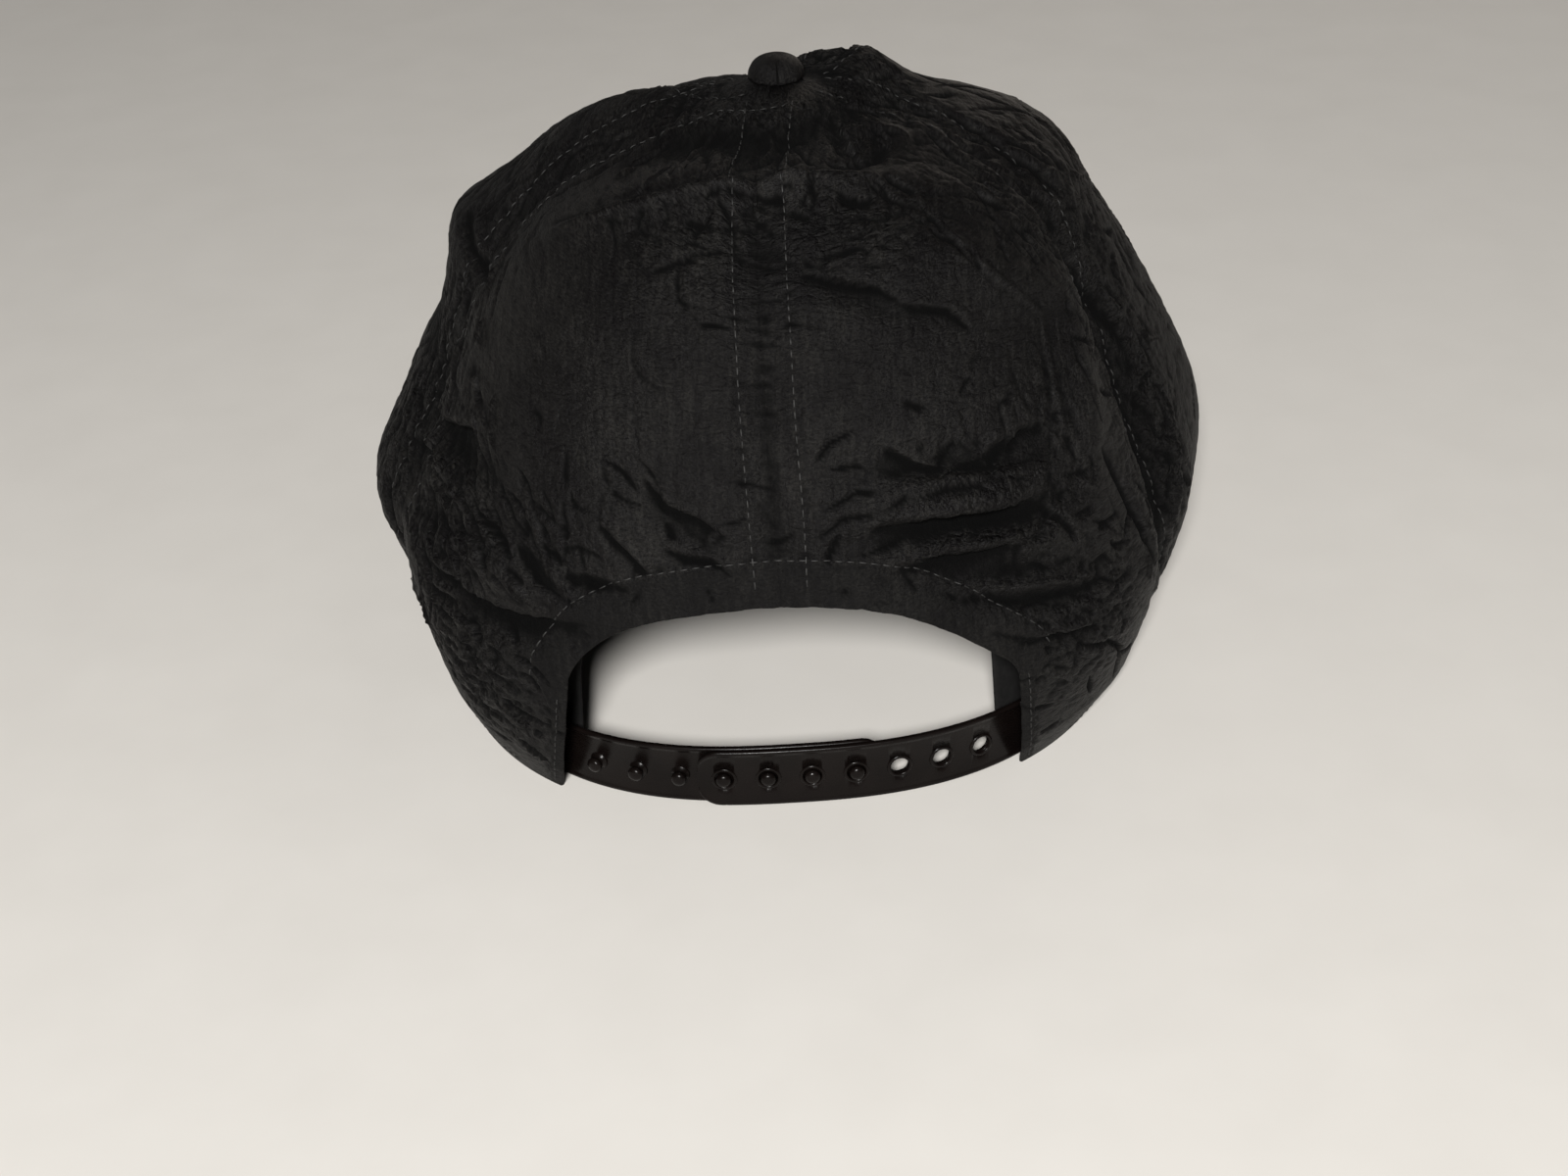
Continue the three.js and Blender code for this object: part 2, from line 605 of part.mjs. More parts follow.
PANELS.forEach((panel, index) => addPiece(panel.name, crownPanel(panel, index), nylon));
addPiece("top_button", topButton(), nylon);
addPiece("brim_under", brimLayer(0, BRIM_UNDER_THICK), brimCloth);
addPiece("brim_top", brimLayer(BRIM_UNDER_THICK + GAP, BRIM_THICK), brimCloth);
addPiece("sweatband", sweatband(), bandCloth);
addPiece("snap_strap_pegs", pegStrap(), plastic);
addPiece("snap_strap_holes", holeStrap(), plastic);

// The part's origin is on the floor under the middle of its bounding box
const box = new THREE.Box3().setFromObject(cap, true);
cap.position.set(-(box.min.x + box.max.x) / 2, -(box.min.y + box.max.y) / 2, -box.min.z);

export default cap;
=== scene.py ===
"""The looks of a black nylon snapback cap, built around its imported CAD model.

The crown's surface is the same function of azimuth and height as in the CAD part, with the same tables, so
every dressed panel lies on its solid. Lengths are millimetres in the crown's own frame, whose Z axis runs
through the middle of the crown, and turn into metres in the part's frame when a mesh is made."""

import math

import bpy
import numpy as np
from mathutils import Matrix, Vector


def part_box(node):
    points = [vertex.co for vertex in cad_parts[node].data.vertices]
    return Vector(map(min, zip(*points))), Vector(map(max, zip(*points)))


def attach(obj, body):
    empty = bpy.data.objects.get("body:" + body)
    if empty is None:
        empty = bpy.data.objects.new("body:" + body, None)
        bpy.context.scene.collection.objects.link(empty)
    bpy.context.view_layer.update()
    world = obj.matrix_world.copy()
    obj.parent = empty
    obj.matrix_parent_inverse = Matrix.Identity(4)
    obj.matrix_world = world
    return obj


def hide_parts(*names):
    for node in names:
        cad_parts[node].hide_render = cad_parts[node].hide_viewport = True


DEG = math.pi / 180
FAR = 1e9

# Crown cloth and the gap that sewn pieces keep
CLOTH = 1.5
GAP = 0.3

# Horizontal sections of the crown. up: share of the way along a panel; height; half widths left and
# right; reach back and front; lean: shift on X; square: exponent of the outline, 2 for an ellipse.
SECTION_KEYS = ("up", "height", "left", "right", "back", "front", "lean", "square")
SECTIONS = [
    (0.0, 0, 83, 86, 98, 97, 0, 2.5),
    (0.08, 12, 88, 94, 103, 99, 0, 2.4),
    (0.25, 42, 92, 102, 107, 98, 0, 2.3),
    (0.43, 75, 80, 91, 103, 87, 0, 2.2),
    (0.58, 101, 67, 79, 92, 60, 0, 2.1),
    (0.73, 121, 51, 65, 77, 34, -2, 2.1),
    (0.87, 132, 30, 38, 49, 15, -5, 2),
    (1.0, 138, 0, 0, 0, 0, -6, 2),
]
PANEL_LENGTH = 209

# Folds below the top. azimuth: degrees from the back, positive to +X; up; half length and half width in mm;
# turn: degrees of the fold's line from level; lift: mm outwards, negative inwards.
FOLD_KEYS = ("azimuth", "up", "along", "across", "turn", "lift")
FOLDS = [
    (-23, 0.485, 21, 5.5, 10, -3.2),
    (-22, 0.42, 22, 5, 0, -3.2),
    (-27, 0.345, 24, 5.5, 20, -2.8),
    (-24, 0.452, 18, 5, 5, 2.2),
    (-27, 0.383, 19, 5, 10, 2.2),
    (-12, 0.72, 16, 4.5, 40, -1.8),
    (-40, 0.66, 34, 8, 42, 2.2),
    (-46, 0.49, 22, 7, 110, 2.4),
    (-61, 0.38, 36, 8, 92, -6),
    (-86, 0.34, 34, 16, 90, 3),
    (11, 0.455, 14, 5, 43, -1.8),
    (27, 0.385, 17, 5.5, 10, -2.6),
    (33, 0.345, 20, 5.5, 0, 2.4),
    (34, 0.3, 20, 6, -7, -3),
    (50, 0.43, 20, 5.5, -8, -3),
    (52, 0.39, 18, 5.5, -8, 2),
    (53, 0.35, 18, 5.5, -10, -2.6),
    (76, 0.28, 20, 15, 0, 5),
    (88, 0.45, 26, 8, 0, -1.5),
    (92, 0.585, 26, 10, 0, 5),
    (112, 0.45, 36, 11, 70, -3),
    (-112, 0.48, 36, 11, 105, -3),
]

# Folds over the top, placed in plan. turn: degrees of the fold's line from the X axis.
TOP_FOLD_KEYS = ("x", "y", "along", "across", "turn", "lift")
TOP_FOLDS = [
    (4, 45, 44, 9, -4, 3.4),
    (3, 22, 32, 9, 0, -4),
    (-38, 22, 15, 8, -30, 2.5),
    (-21, -4, 11, 10, 0, 9.5),
    (34, -6, 16, 12, 20, 1.5),
]

TOP_FOLDS_FADE = (70, 100)

# Seams: degrees from the back at the rim and at the button, and the power of up by which they turn
SEAMS = [(0, 14, 6), (66, 80, 2), (120, 130, 2), (180, 180, 2), (243, 240, 2), (302, 296, 2), (360, 374, 6)]
PANELS = [
    "crown_panel_back_left",
    "crown_panel_side_left",
    "crown_panel_front_left",
    "crown_panel_front_right",
    "crown_panel_side_right",
    "crown_panel_back_right",
]
SEAM_DIP = 1.6
SEAM_REACH = 5
PANEL_PUFF = 2.5
PANEL_TOP_RADIUS = 3.2

# Edge of the rear opening from the rim on the wearer's left to the rim on the right: x, and up
OPENING = [
    (53.5, 0.0),
    (47, 0.235),
    (45, 0.262),
    (40.5, 0.293),
    (32.5, 0.325),
    (21.5, 0.345),
    (10, 0.354),
    (0, 0.355),
    (-13, 0.35),
    (-25.5, 0.331),
    (-35.5, 0.3),
    (-44, 0.261),
    (-50, 0.228),
    (-51.5, 0.2),
    (-54, 0.0),
]
HEM_WIDTH = 9.5
SIDE_HEM_WIDTH = 3.0
HEM_RAISED = 0.4

# The rim is level at the back and climbs towards the brim's ends
RIM_CLIMB_FROM = 50 * DEG

# Brim
BRIM_HALF_WIDTH = 91
BRIM_FRONT = 167
BRIM_SQUARE = 3
BRIM_ARCH = 27
BRIM_LIFT = 1.86
BRIM_DOWN_FROM = 20
BRIM_DOWN_SLOPE = 0.06
BRIM_END = 78 * DEG
BRIM_TAPER = 12 * DEG
BRIM_TOP_THICK = 2.1
BRIM_UNDER_THICK = 0.9
BRIM_THICK = BRIM_TOP_THICK + GAP + BRIM_UNDER_THICK

# Snap strap
STRAP_WIDTH = 16.5
STRAP_THICK = 1.3
STRAP_LEAN = 1.6
STRAP_CORNER = 5
STRAP_TAB = 13
STRAP_END_MARGIN = 6
OPENING_EDGE = 54
SNAP_PITCH = 10
SNAP_COUNT = 7
SNAPS_CLOSED = 4
PEG_RADIUS = 1.8
HOLE_RADIUS = 2.15
HOLE_STRAP_INSET = CLOTH + GAP + STRAP_THICK / 2
PEG_STRAP_INSET = HOLE_STRAP_INSET + STRAP_THICK + GAP

# Sweatband
BAND_HEIGHT = 32
BAND_THICK = 1.2
BAND_LEAN = 2.5

BUTTON_RADIUS = 6.6
BUTTON_HEIGHT = 5

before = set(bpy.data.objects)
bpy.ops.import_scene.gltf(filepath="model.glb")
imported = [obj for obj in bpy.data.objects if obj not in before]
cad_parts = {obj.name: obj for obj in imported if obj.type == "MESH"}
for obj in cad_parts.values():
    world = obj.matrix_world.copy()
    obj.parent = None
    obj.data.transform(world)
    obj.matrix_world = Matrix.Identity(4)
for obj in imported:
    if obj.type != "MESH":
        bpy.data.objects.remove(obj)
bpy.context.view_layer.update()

# The crown's axis in the part's frame: the button's middle, less the lean of the crown's top
button_low, button_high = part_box("top_button")
AXIS_X = (button_low.x + button_high.x) / 2 * 1000 + 6
AXIS_Y = (button_low.y + button_high.y) / 2 * 1000
FLOOR_DROP = 138 + GAP - 0.2 - button_low.z * 1000


def to_part(points):
    """Millimetres in the crown's frame to metres in the part's frame."""
    return (np.asarray(points, float) + [AXIS_X, AXIS_Y, -FLOOR_DROP]) / 1000


def smooth_step(low, high, value):
    t = np.clip((value - low) / (high - low), 0, 1)
    return t * t * (3 - 2 * t)


def turn_to(start, end):
    """The signed angle from start to end, within half a turn."""
    return (end - start + np.pi) % (2 * np.pi) - np.pi


def named(keys, table):
    """The rows of a table as dictionaries."""
    return [dict(zip(keys, row)) for row in table]


def along_and_across(x, y, turn):
    """Places measured along and across a line that is turned by an angle."""
    c, s = math.cos(turn), math.sin(turn)
    return x * c + y * s, y * c - x * s


def grid_of(first, second):
    """Two values at every point of a grid: the first changes from row to row, the second along a row."""
    return np.meshgrid(first, second, indexing="ij")


def walked_along(points):
    """The distance along a line of points to each of them."""
    return np.concatenate([[0], np.cumsum(np.linalg.norm(np.diff(points, axis=0), axis=1))])


def hann_kernel(width):
    """Weights that sum to 1 and fade out on both sides, for smoothing."""
    kernel = np.hanning(width)[1:-1]
    return kernel / kernel.sum()


def hermite(s, start, end, start_slope, end_slope):
    """A cubic curve from start to end, with slopes per whole span."""
    return (
        (2 * s**3 - 3 * s**2 + 1) * start
        + (s**3 - 2 * s**2 + s) * start_slope
        + (3 * s**2 - 2 * s**3) * end
        + (s**3 - s**2) * end_slope
    )


def extended_sections():
    """The table continued below the rim in a straight line, and past the button as its mirror image."""
    table = np.array(SECTIONS, float)
    below = 2 * table[0] - table[1]
    beyond = table[-2].copy()
    beyond[0] = 2 * table[-1, 0] - table[-2, 0]
    beyond[2:6] *= -1
    return np.vstack([below, table, beyond])


KNOTS = extended_sections()


def section_at(up):
    """The crown's section at each share of the way up, as a dictionary of arrays."""
    up = np.asarray(up, float)
    k = np.clip(np.searchsorted(KNOTS[:, 0], up, side="right") - 1, 1, len(KNOTS) - 3)
    a, b, c, d = (KNOTS[k + i] for i in (-1, 0, 1, 2))
    span = c[..., :1] - b[..., :1]
    s = (up[..., None] - b[..., :1]) / span
    slope_b = (c - a) / (c[..., :1] - a[..., :1]) * span
    slope_c = (d - b) / (d[..., :1] - b[..., :1]) * span
    made = hermite(s, b, c, slope_b, slope_c)
    return {key: made[..., i] for i, key in enumerate(SECTION_KEYS)}


def reach_of(half_width, length, square, azimuth):
    """Distance from the axis to a squared ellipse in the direction of the azimuth."""
    across = np.abs(np.sin(azimuth)) / np.maximum(half_width, 1e-3)
    ahead = np.abs(np.cos(azimuth)) / np.maximum(length, 1e-3)
    return (across**square + ahead**square) ** (-1 / square)


def section_reach(section, azimuth):
    half_width = np.where(np.sin(azimuth) >= 0, section["left"], section["right"])
    length = np.where(np.cos(azimuth) >= 0, section["back"], section["front"])
    return reach_of(half_width, length, section["square"], azimuth)


RIM = section_at(0.0)


def brim_under_height(x, y):
    arch = BRIM_ARCH * (1 - (x / BRIM_HALF_WIDTH) ** 2)
    return BRIM_LIFT + arch - BRIM_DOWN_SLOPE * np.maximum(0, -y - BRIM_DOWN_FROM)


def seat_height(x, y):
    return brim_under_height(x, y) + BRIM_THICK + GAP


def rim_height(azimuth):
    """The rim lies on the brim over the front half, and comes down to the floor towards the back."""
    reach = section_reach(RIM, azimuth)
    side = np.where(np.sin(azimuth) >= 0, RIM["left"], RIM["right"])
    climb = smooth_step(RIM_CLIMB_FROM, np.pi / 2, np.abs(turn_to(0, azimuth)))
    ahead = seat_height(reach * np.sin(azimuth), reach * np.cos(azimuth))
    return np.where(np.cos(azimuth) <= 0, ahead, seat_height(side, 0 * side) * climb)


def smooth_crown(azimuth, up):
    azimuth, up = np.broadcast_arrays(np.asarray(azimuth, float), np.asarray(up, float))
    section = section_at(up)
    reach = section_reach(section, azimuth)
    x = reach * np.sin(azimuth) + section["lean"]
    z = section["height"] + rim_height(azimuth) * (1 - up) ** 2
    return np.stack([x, reach * np.cos(azimuth), z], -1)


def unit(vectors):
    return vectors / np.maximum(np.linalg.norm(vectors, axis=-1, keepdims=True), 1e-9)


def normal_of(surface, azimuth, up):
    turn = 0.6 * DEG
    rise = 0.004
    along_up = surface(azimuth, np.minimum(up + rise, 1)) - surface(azimuth, np.maximum(up - rise, 0))
    along_turn = surface(azimuth + turn, up) - surface(azimuth - turn, up)
    return unit(np.cross(along_up, along_turn))


def seam_azimuth(k, up):
    rim, top, power = SEAMS[k]
    return (rim + (top - rim) * np.clip(up, 0, 1) ** power) * DEG


def bump(along, across, half_length, half_width):
    return np.exp(-((along / half_length) ** 2) - (across / half_width) ** 2)


def panel_lift(azimuth, up, reach):
    """Each panel swells between its seams, and dips at them."""
    turned = azimuth % (2 * np.pi)
    turned = np.where(turned < seam_azimuth(0, up), turned + 2 * np.pi, turned)
    lift = np.zeros(azimuth.shape)
    for k in range(len(PANELS)):
        low = seam_azimuth(k, up)
        high = seam_azimuth(k + 1, up)
        share = (turned - low) / (high - low)
        edge = np.minimum(turned - low, high - turned) * reach
        swell = PANEL_PUFF * 4 * share * (1 - share) * np.sin(np.pi * np.clip(up, 0, 1)) ** 0.7
        dip = SEAM_DIP * np.exp(-((edge / SEAM_REACH) ** 2)) * smooth_step(0, 0.06, up)
        lift = np.where((share >= 0) & (share <= 1), swell - dip, lift)
    return lift


def off_place(row, azimuth, up, reach):
    """Mm east and north of a table row's place, on the crown's cloth laid flat."""
    return turn_to(row["azimuth"] * DEG, azimuth) * reach, (up - row["up"]) * PANEL_LENGTH


def crown_point(azimuth, up):
    azimuth, up = np.broadcast_arrays(np.asarray(azimuth, float), np.asarray(up, float))
    base = smooth_crown(azimuth, up)
    reach = np.hypot(base[..., 0], base[..., 1])
    lift = panel_lift(azimuth, up, reach)
    for fold in named(FOLD_KEYS, FOLDS):
        place = along_and_across(*off_place(fold, azimuth, up, reach), fold["turn"] * DEG)
        lift = lift + fold["lift"] * bump(*place, fold["along"], fold["across"])
    at_top = smooth_step(*TOP_FOLDS_FADE, base[..., 2])
    for fold in named(TOP_FOLD_KEYS, TOP_FOLDS):
        place = along_and_across(base[..., 0] - fold["x"], base[..., 1] - fold["y"], fold["turn"] * DEG)
        lift = lift + fold["lift"] * at_top * bump(*place, fold["along"], fold["across"])
    hold = smooth_step(0, 0.1, up) * smooth_step(0.035, 0.1, 1 - up)
    return base + normal_of(smooth_crown, azimuth, up) * (lift * hold)[..., None]


# Large odd factors that scramble a lattice point's numbers and the seed
HASH_U, HASH_V, HASH_SEED, HASH_MIX = 374761393, 668265263, 974634777, 1274126177
LOW_BITS = 0xFFFF


def lattice_noise(u, v, seed):
    """Gradient noise on a unit lattice, from about -1 to 1."""
    iu, iv = np.floor(u).astype(int), np.floor(v).astype(int)
    fu, fv = u - iu, v - iv
    total = np.zeros(u.shape)
    for du in (0, 1):
        for dv in (0, 1):
            mixed = (iu + du) * HASH_U + (iv + dv) * HASH_V + seed * HASH_SEED
            mixed = (mixed ^ (mixed >> 13)) * HASH_MIX
            angle = ((mixed ^ (mixed >> 16)) & LOW_BITS) / LOW_BITS * 2 * np.pi
            weight = (1 - np.abs(fu - du)) * (1 - np.abs(fv - dv))
            weight = weight**2 * (3 - 2 * weight)
            total += weight * (np.cos(angle) * (fu - du) + np.sin(angle) * (fv - dv))
    return total * 1.6


def crease_noise(u, v, seed):
    """Narrow creases between broad, nearly flat facets: 0 in a crease, towards 1 on the facets."""
    bend = 0.6 * lattice_noise(u * 0.7, v * 0.7, seed + 11)
    a = np.abs(lattice_noise(u + bend, v - bend, seed))
    b = np.abs(lattice_noise(u * 1.9 - bend, v * 1.9 + bend, seed + 5))
    return np.minimum(a * 3, 1) ** 0.6 * 0.65 + np.minimum(b * 3, 1) ** 0.6 * 0.35


# Creases and folds that show in the photograph, each a line over the crown through (azimuth, up) places.
# kind: ridge, valley, or step, whose face looks down; lift, before CREASE_STRENGTH, and width in mm.
CREASE_KEYS = ("kind", "lift", "width", "line")
CREASES = [
    ("ridge", 0.4, 2.4, [(50, 0.705), (32.5, 0.78), (20, 0.832), (11.5, 0.857), (-2.5, 0.866),
                         (-20, 0.851), (-28.5, 0.836)]),
    ("step", -1.9, 2.0, [(52, 0.71), (34, 0.788), (20, 0.843), (11.5, 0.866), (-2.5, 0.876),
                         (-20, 0.861), (-31, 0.845)]),
    ("step", -1.2, 4.0, [(50, 0.74), (34, 0.81), (20, 0.862), (11.5, 0.884), (-2.5, 0.894),
                         (-20, 0.88), (-31, 0.86)]),
    ("step", 0.9, 1.1, [(15.5, 0.492), (12.5, 0.474), (9, 0.464), (5.5, 0.442)]),
    ("valley", 1.0, 1.1, [(16, 0.497), (13.5, 0.476)]),
    ("step", 1.1, 1.2, [(13, 0.43), (10.5, 0.421), (7.5, 0.417), (4.5, 0.395)]),
    ("valley", 1.1, 1.2, [(13, 0.454), (12, 0.433)]),
    ("step", 1.2, 1.3, [(21, 0.446), (17, 0.419), (14.5, 0.395)]),
    ("step", 2.0, 2.3, [(33, 0.394), (28.5, 0.369), (24, 0.349)]),
    ("valley", 1.6, 1.7, [(32.5, 0.389), (28.5, 0.366), (25, 0.352)]),
    ("step", 1.0, 2.2, [(28, 0.376), (23, 0.381), (17, 0.379)]),
    ("valley", 1.5, 1.4, [(34.5, 0.359), (31, 0.345)]),
    ("valley", 1.3, 1.3, [(36.5, 0.387), (34, 0.365)]),
    ("valley", 1.2, 1.2, [(29.8, 0.421), (28.3, 0.404)]),
    ("step", 1.3, 1.8, [(45, 0.35), (41.5, 0.343), (38, 0.332)]),
    ("valley", 1.5, 1.4, [(42, 0.348), (38.5, 0.333)]),
    ("valley", 1.4, 1.5, [(44.5, 0.408), (41, 0.389), (36.5, 0.378)]),
    ("valley", 1.1, 1.2, [(36.5, 0.436), (32.5, 0.423)]),
    ("step", 1.6, 2.2, [(68, 0.43), (56, 0.45), (47, 0.476)]),
    ("valley", 1.6, 1.8, [(58, 0.446), (50, 0.458), (47.5, 0.474)]),
    ("step", 1.5, 2.0, [(72, 0.365), (60, 0.398), (49, 0.398)]),
    ("valley", 1.4, 1.6, [(64, 0.375), (55, 0.366), (47, 0.372)]),
    ("step", 1.6, 2.0, [(52, 0.304), (41, 0.302), (33, 0.308), (21, 0.331)]),
    ("step", 1.6, 2.4, [(62, 0.3), (52.5, 0.27), (45, 0.277)]),
    ("valley", 1.3, 1.5, [(53, 0.236), (44, 0.24)]),
    ("valley", 1.3, 1.5, [(42.5, 0.268), (39, 0.246)]),
    ("valley", 1.2, 1.4, [(35, 0.284), (33, 0.264)]),
    ("valley", 1.2, 1.1, [(-5.5, 0.519), (-7.5, 0.536), (-10.5, 0.546)]),
    ("valley", 0.8, 1.0, [(-5.5, 0.462), (-10, 0.481), (-13, 0.474)]),
    ("valley", 0.9, 1.0, [(-4.8, 0.43), (-8, 0.452), (-12, 0.452)]),
    ("step", 1.0, 1.2, [(-14, 0.528), (-18, 0.503), (-21.5, 0.484)]),
    ("step", 1.3, 1.6, [(-21.5, 0.484), (-26.5, 0.48), (-30.5, 0.504)]),
    ("valley", 1.5, 1.5, [(-22, 0.483), (-26.5, 0.481), (-29.5, 0.497)]),
    ("valley", 1.5, 1.4, [(-30, 0.479), (-33, 0.49), (-36.5, 0.486)]),
    ("step", 2.3, 4.2, [(-11, 0.452), (-21.5, 0.446), (-35, 0.424)]),
    ("step", 2.1, 3.4, [(-11, 0.393), (-19.5, 0.397), (-30, 0.39)]),
    ("step", 0.8, 1.6, [(-14, 0.471), (-21, 0.468), (-28.5, 0.462)]),
    ("step", 2.1, 3.0, [(-18, 0.36), (-29, 0.322), (-40, 0.3)]),
    ("valley", 1.5, 1.6, [(-33, 0.405), (-35, 0.385), (-37, 0.355)]),
    ("valley", 1.3, 1.0, [(-5.5, 0.4), (-7.5, 0.438)]),
    ("ridge", 0.7, 1.6, [(-41, 0.545), (-40.5, 0.52), (-39, 0.455)]),
    ("ridge", 0.6, 1.3, [(-30, 0.759), (-34, 0.687), (-43, 0.598), (-41, 0.514)]),
    ("valley", 2.0, 1.9, [(-12.5, 0.836), (-19.5, 0.816)]),
    ("valley", 1.4, 1.3, [(-2.5, 0.829), (-6.5, 0.817)]),
    ("valley", 1.3, 1.2, [(3.5, 0.847), (-1.5, 0.843)]),
    ("valley", 1.2, 1.3, [(17.5, 0.798), (14, 0.807), (15.5, 0.788)]),
    ("valley", 1.0, 1.1, [(16.5, 0.757), (12.5, 0.76)]),
    ("valley", 1.2, 1.0, [(10, 0.684), (5.5, 0.684)]),
    ("valley", 0.9, 1.1, [(20, 0.732), (14, 0.767), (8.5, 0.782)]),
    ("step", 0.8, 0.9, [(-5, 0.753), (-10, 0.736), (-16, 0.718), (-20, 0.692)]),
    ("valley", 1.8, 1.0, [(-5, 0.752), (-10, 0.735), (-18, 0.706)]),
    ("step", 0.8, 1.2, [(-19, 0.692), (-26.5, 0.663), (-30, 0.628)]),
    ("valley", 0.9, 1.0, [(-22, 0.675), (-26.5, 0.66), (-29, 0.631)]),
    ("step", -0.8, 1.6, [(-8, 0.762), (-10.5, 0.764), (-16, 0.766)]),
    ("valley", 1.3, 1.3, [(-28, 0.758), (-31.5, 0.726)]),
    ("valley", 1.4, 1.4, [(-24.5, 0.841), (-29.5, 0.807)]),
    ("valley", 2.2, 2.4, [(-12.5, 0.881), (-19, 0.872), (-27, 0.872), (-36, 0.88)]),
    ("ridge", 2.0, 6.0, [(-22, 0.918), (-38, 0.9), (-46, 0.87)]),
    ("valley", 1.8, 2.0, [(-53, 0.872), (-48.5, 0.828), (-48, 0.79)]),
    ("valley", 1.6, 2.2, [(-56, 0.85), (-56, 0.744), (-63, 0.64)]),
    ("valley", 1.4, 2.0, [(-74, 0.87), (-66, 0.78), (-68, 0.68)]),
    ("ridge", 1.2, 3.0, [(-60, 0.86), (-60, 0.76), (-66, 0.66)]),
    ("valley", 2.4, 4.0, [(-55, 0.72), (-61, 0.6), (-66, 0.486), (-66, 0.4)]),
    ("valley", 2.0, 2.6, [(-45, 0.43), (-47, 0.399), (-49.5, 0.331), (-53, 0.24)]),
    ("ridge", 1.4, 3.0, [(-70, 0.36), (-66, 0.3), (-62, 0.21)]),
    ("valley", 2.2, 3.0, [(88, 0.61), (76, 0.593), (62, 0.602)]),
    ("valley", 1.6, 2.2, [(72, 0.3), (69, 0.23), (59, 0.21)]),
    ("step", 1.6, 2.0, [(-23, 0.298), (-30, 0.262), (-40, 0.236)]),
    ("valley", 1.3, 1.4, [(-41, 0.2), (-46, 0.15), (-48, 0.08)]),
    ("valley", 1.1, 0.9, [(-14.5, 0.378), (-16, 0.352)]),
    ("valley", 1.2, 0.9, [(-18.5, 0.358), (-20.5, 0.33)]),
    ("valley", 1.3, 1.0, [(-22, 0.345), (-23.5, 0.312)]),
    ("valley", 1.2, 0.9, [(-25.5, 0.322), (-26.5, 0.288)]),
    ("valley", 1.1, 0.9, [(-29, 0.3), (-28.5, 0.272)]),
    ("valley", 1.0, 0.9, [(-8, 0.378), (-7, 0.36)]),
    ("valley", 1.0, 0.9, [(8.5, 0.385), (7.5, 0.362)]),
    ("valley", 1.1, 0.9, [(16, 0.372), (17.5, 0.35)]),
    ("valley", 1.3, 1.4, [(48.5, 0.206), (44, 0.16), (42, 0.1)]),
]

# How much stronger the table's creases are made than it says, and the mm from which one ends softly
CREASE_STRENGTH = 1.35
LONG_CREASE = 60

# Areas of crinkles. azimuth and up of the middle; wide and tall: half sizes in mm; turn: degrees of the
# creases from level; size: mm from crease to crease; stretch: how much longer than wide; lift: depth in mm
AREA_KEYS = ("azimuth", "up", "wide", "tall", "turn", "size", "stretch", "lift")
AREAS = [
    (50, 0.37, 20, 20, 55, 5.0, 2.2, 3.2),
    (28, 0.40, 14, 13, 48, 4.6, 2.6, 1.6),
    (12, 0.44, 12, 8, 30, 6.0, 3.0, 0.5),
    (72, 0.42, 20, 32, 80, 6.0, 2.2, 1.9),
    (42, 0.19, 20, 20, 20, 5.0, 1.5, 2.2),
    (-24, 0.42, 22, 17, -8, 4.6, 2.6, 1.2),
    (-38, 0.47, 9, 18, 100, 5.5, 2.0, 1.2),
    (-38, 0.25, 16, 18, 20, 5.0, 1.5, 1.8),
    (-7, 0.43, 7, 10, -50, 6.0, 2.6, 0.5),
    (-62, 0.45, 15, 55, 85, 6.5, 2.6, 2.3),
    (-56, 0.74, 22, 26, 70, 6.0, 2.2, 2.2),
    (-18, 0.78, 26, 13, 15, 5.5, 1.8, 0.9),
    (14, 0.79, 26, 15, 40, 5.5, 1.8, 0.9),
    (28, 0.92, 45, 11, 60, 4.6, 2.0, 2.4),
    (-28, 0.93, 45, 9, -50, 4.6, 2.0, 1.6),
    (78, 0.68, 24, 30, 60, 9.0, 2.6, 1.3),
    (-86, 0.62, 26, 40, -60, 9.0, 2.6, 1.3),
    (108, 0.36, 40, 45, 60, 15.0, 2.2, 1.1),
    (-108, 0.36, 40, 45, -60, 15.0, 2.2, 1.1),
    (150, 0.7, 40, 45, 75, 16.0, 2.2, 0.8),
    (-150, 0.7, 40, 45, -75, 16.0, 2.2, 0.8),
    (180, 0.35, 55, 45, 10, 18.0, 2.2, 0.7),
]
FACET_LEVEL = 0.72

# Long thin creases drawn at random from the areas: the seed, how many there are for an area's size, how far
# their turn strays in degrees, and the crinkle size up to which they are sharper, and by how much
RANDOM_SEED = 8
CREASES_PER_CELL = 2.8
CREASE_STRAY = 22
FINE_SIZE = 5
FINE_STRENGTH = 1.6


def crinkle_lift(azimuth, up, reach):
    """A net of sharp creases between flat facets, drawn out along each area's own direction."""
    total = np.zeros(azimuth.size)
    weights = np.zeros(azimuth.size)
    flat_azimuth, flat_up, flat_reach = azimuth.ravel(), up.ravel(), reach.ravel()
    for number, area in enumerate(named(AREA_KEYS, AREAS)):
        east, north = off_place(area, flat_azimuth, flat_up, flat_reach)
        weight = bump(east, north, area["wide"], area["tall"])
        near = np.nonzero(weight > 0.015)[0]
        if not len(near):
            continue
        along, across = along_and_across(east[near], north[near], area["turn"] * DEG)
        size = area["size"]
        pattern = crease_noise(along / (size * area["stretch"]) + number * 3.7, across / size, 3 + number)
        total[near] += weight[near] * area["lift"] * (pattern - FACET_LEVEL)
        weights[near] += weight[near]
    return (total / np.maximum(weights, 1)).reshape(azimuth.shape)


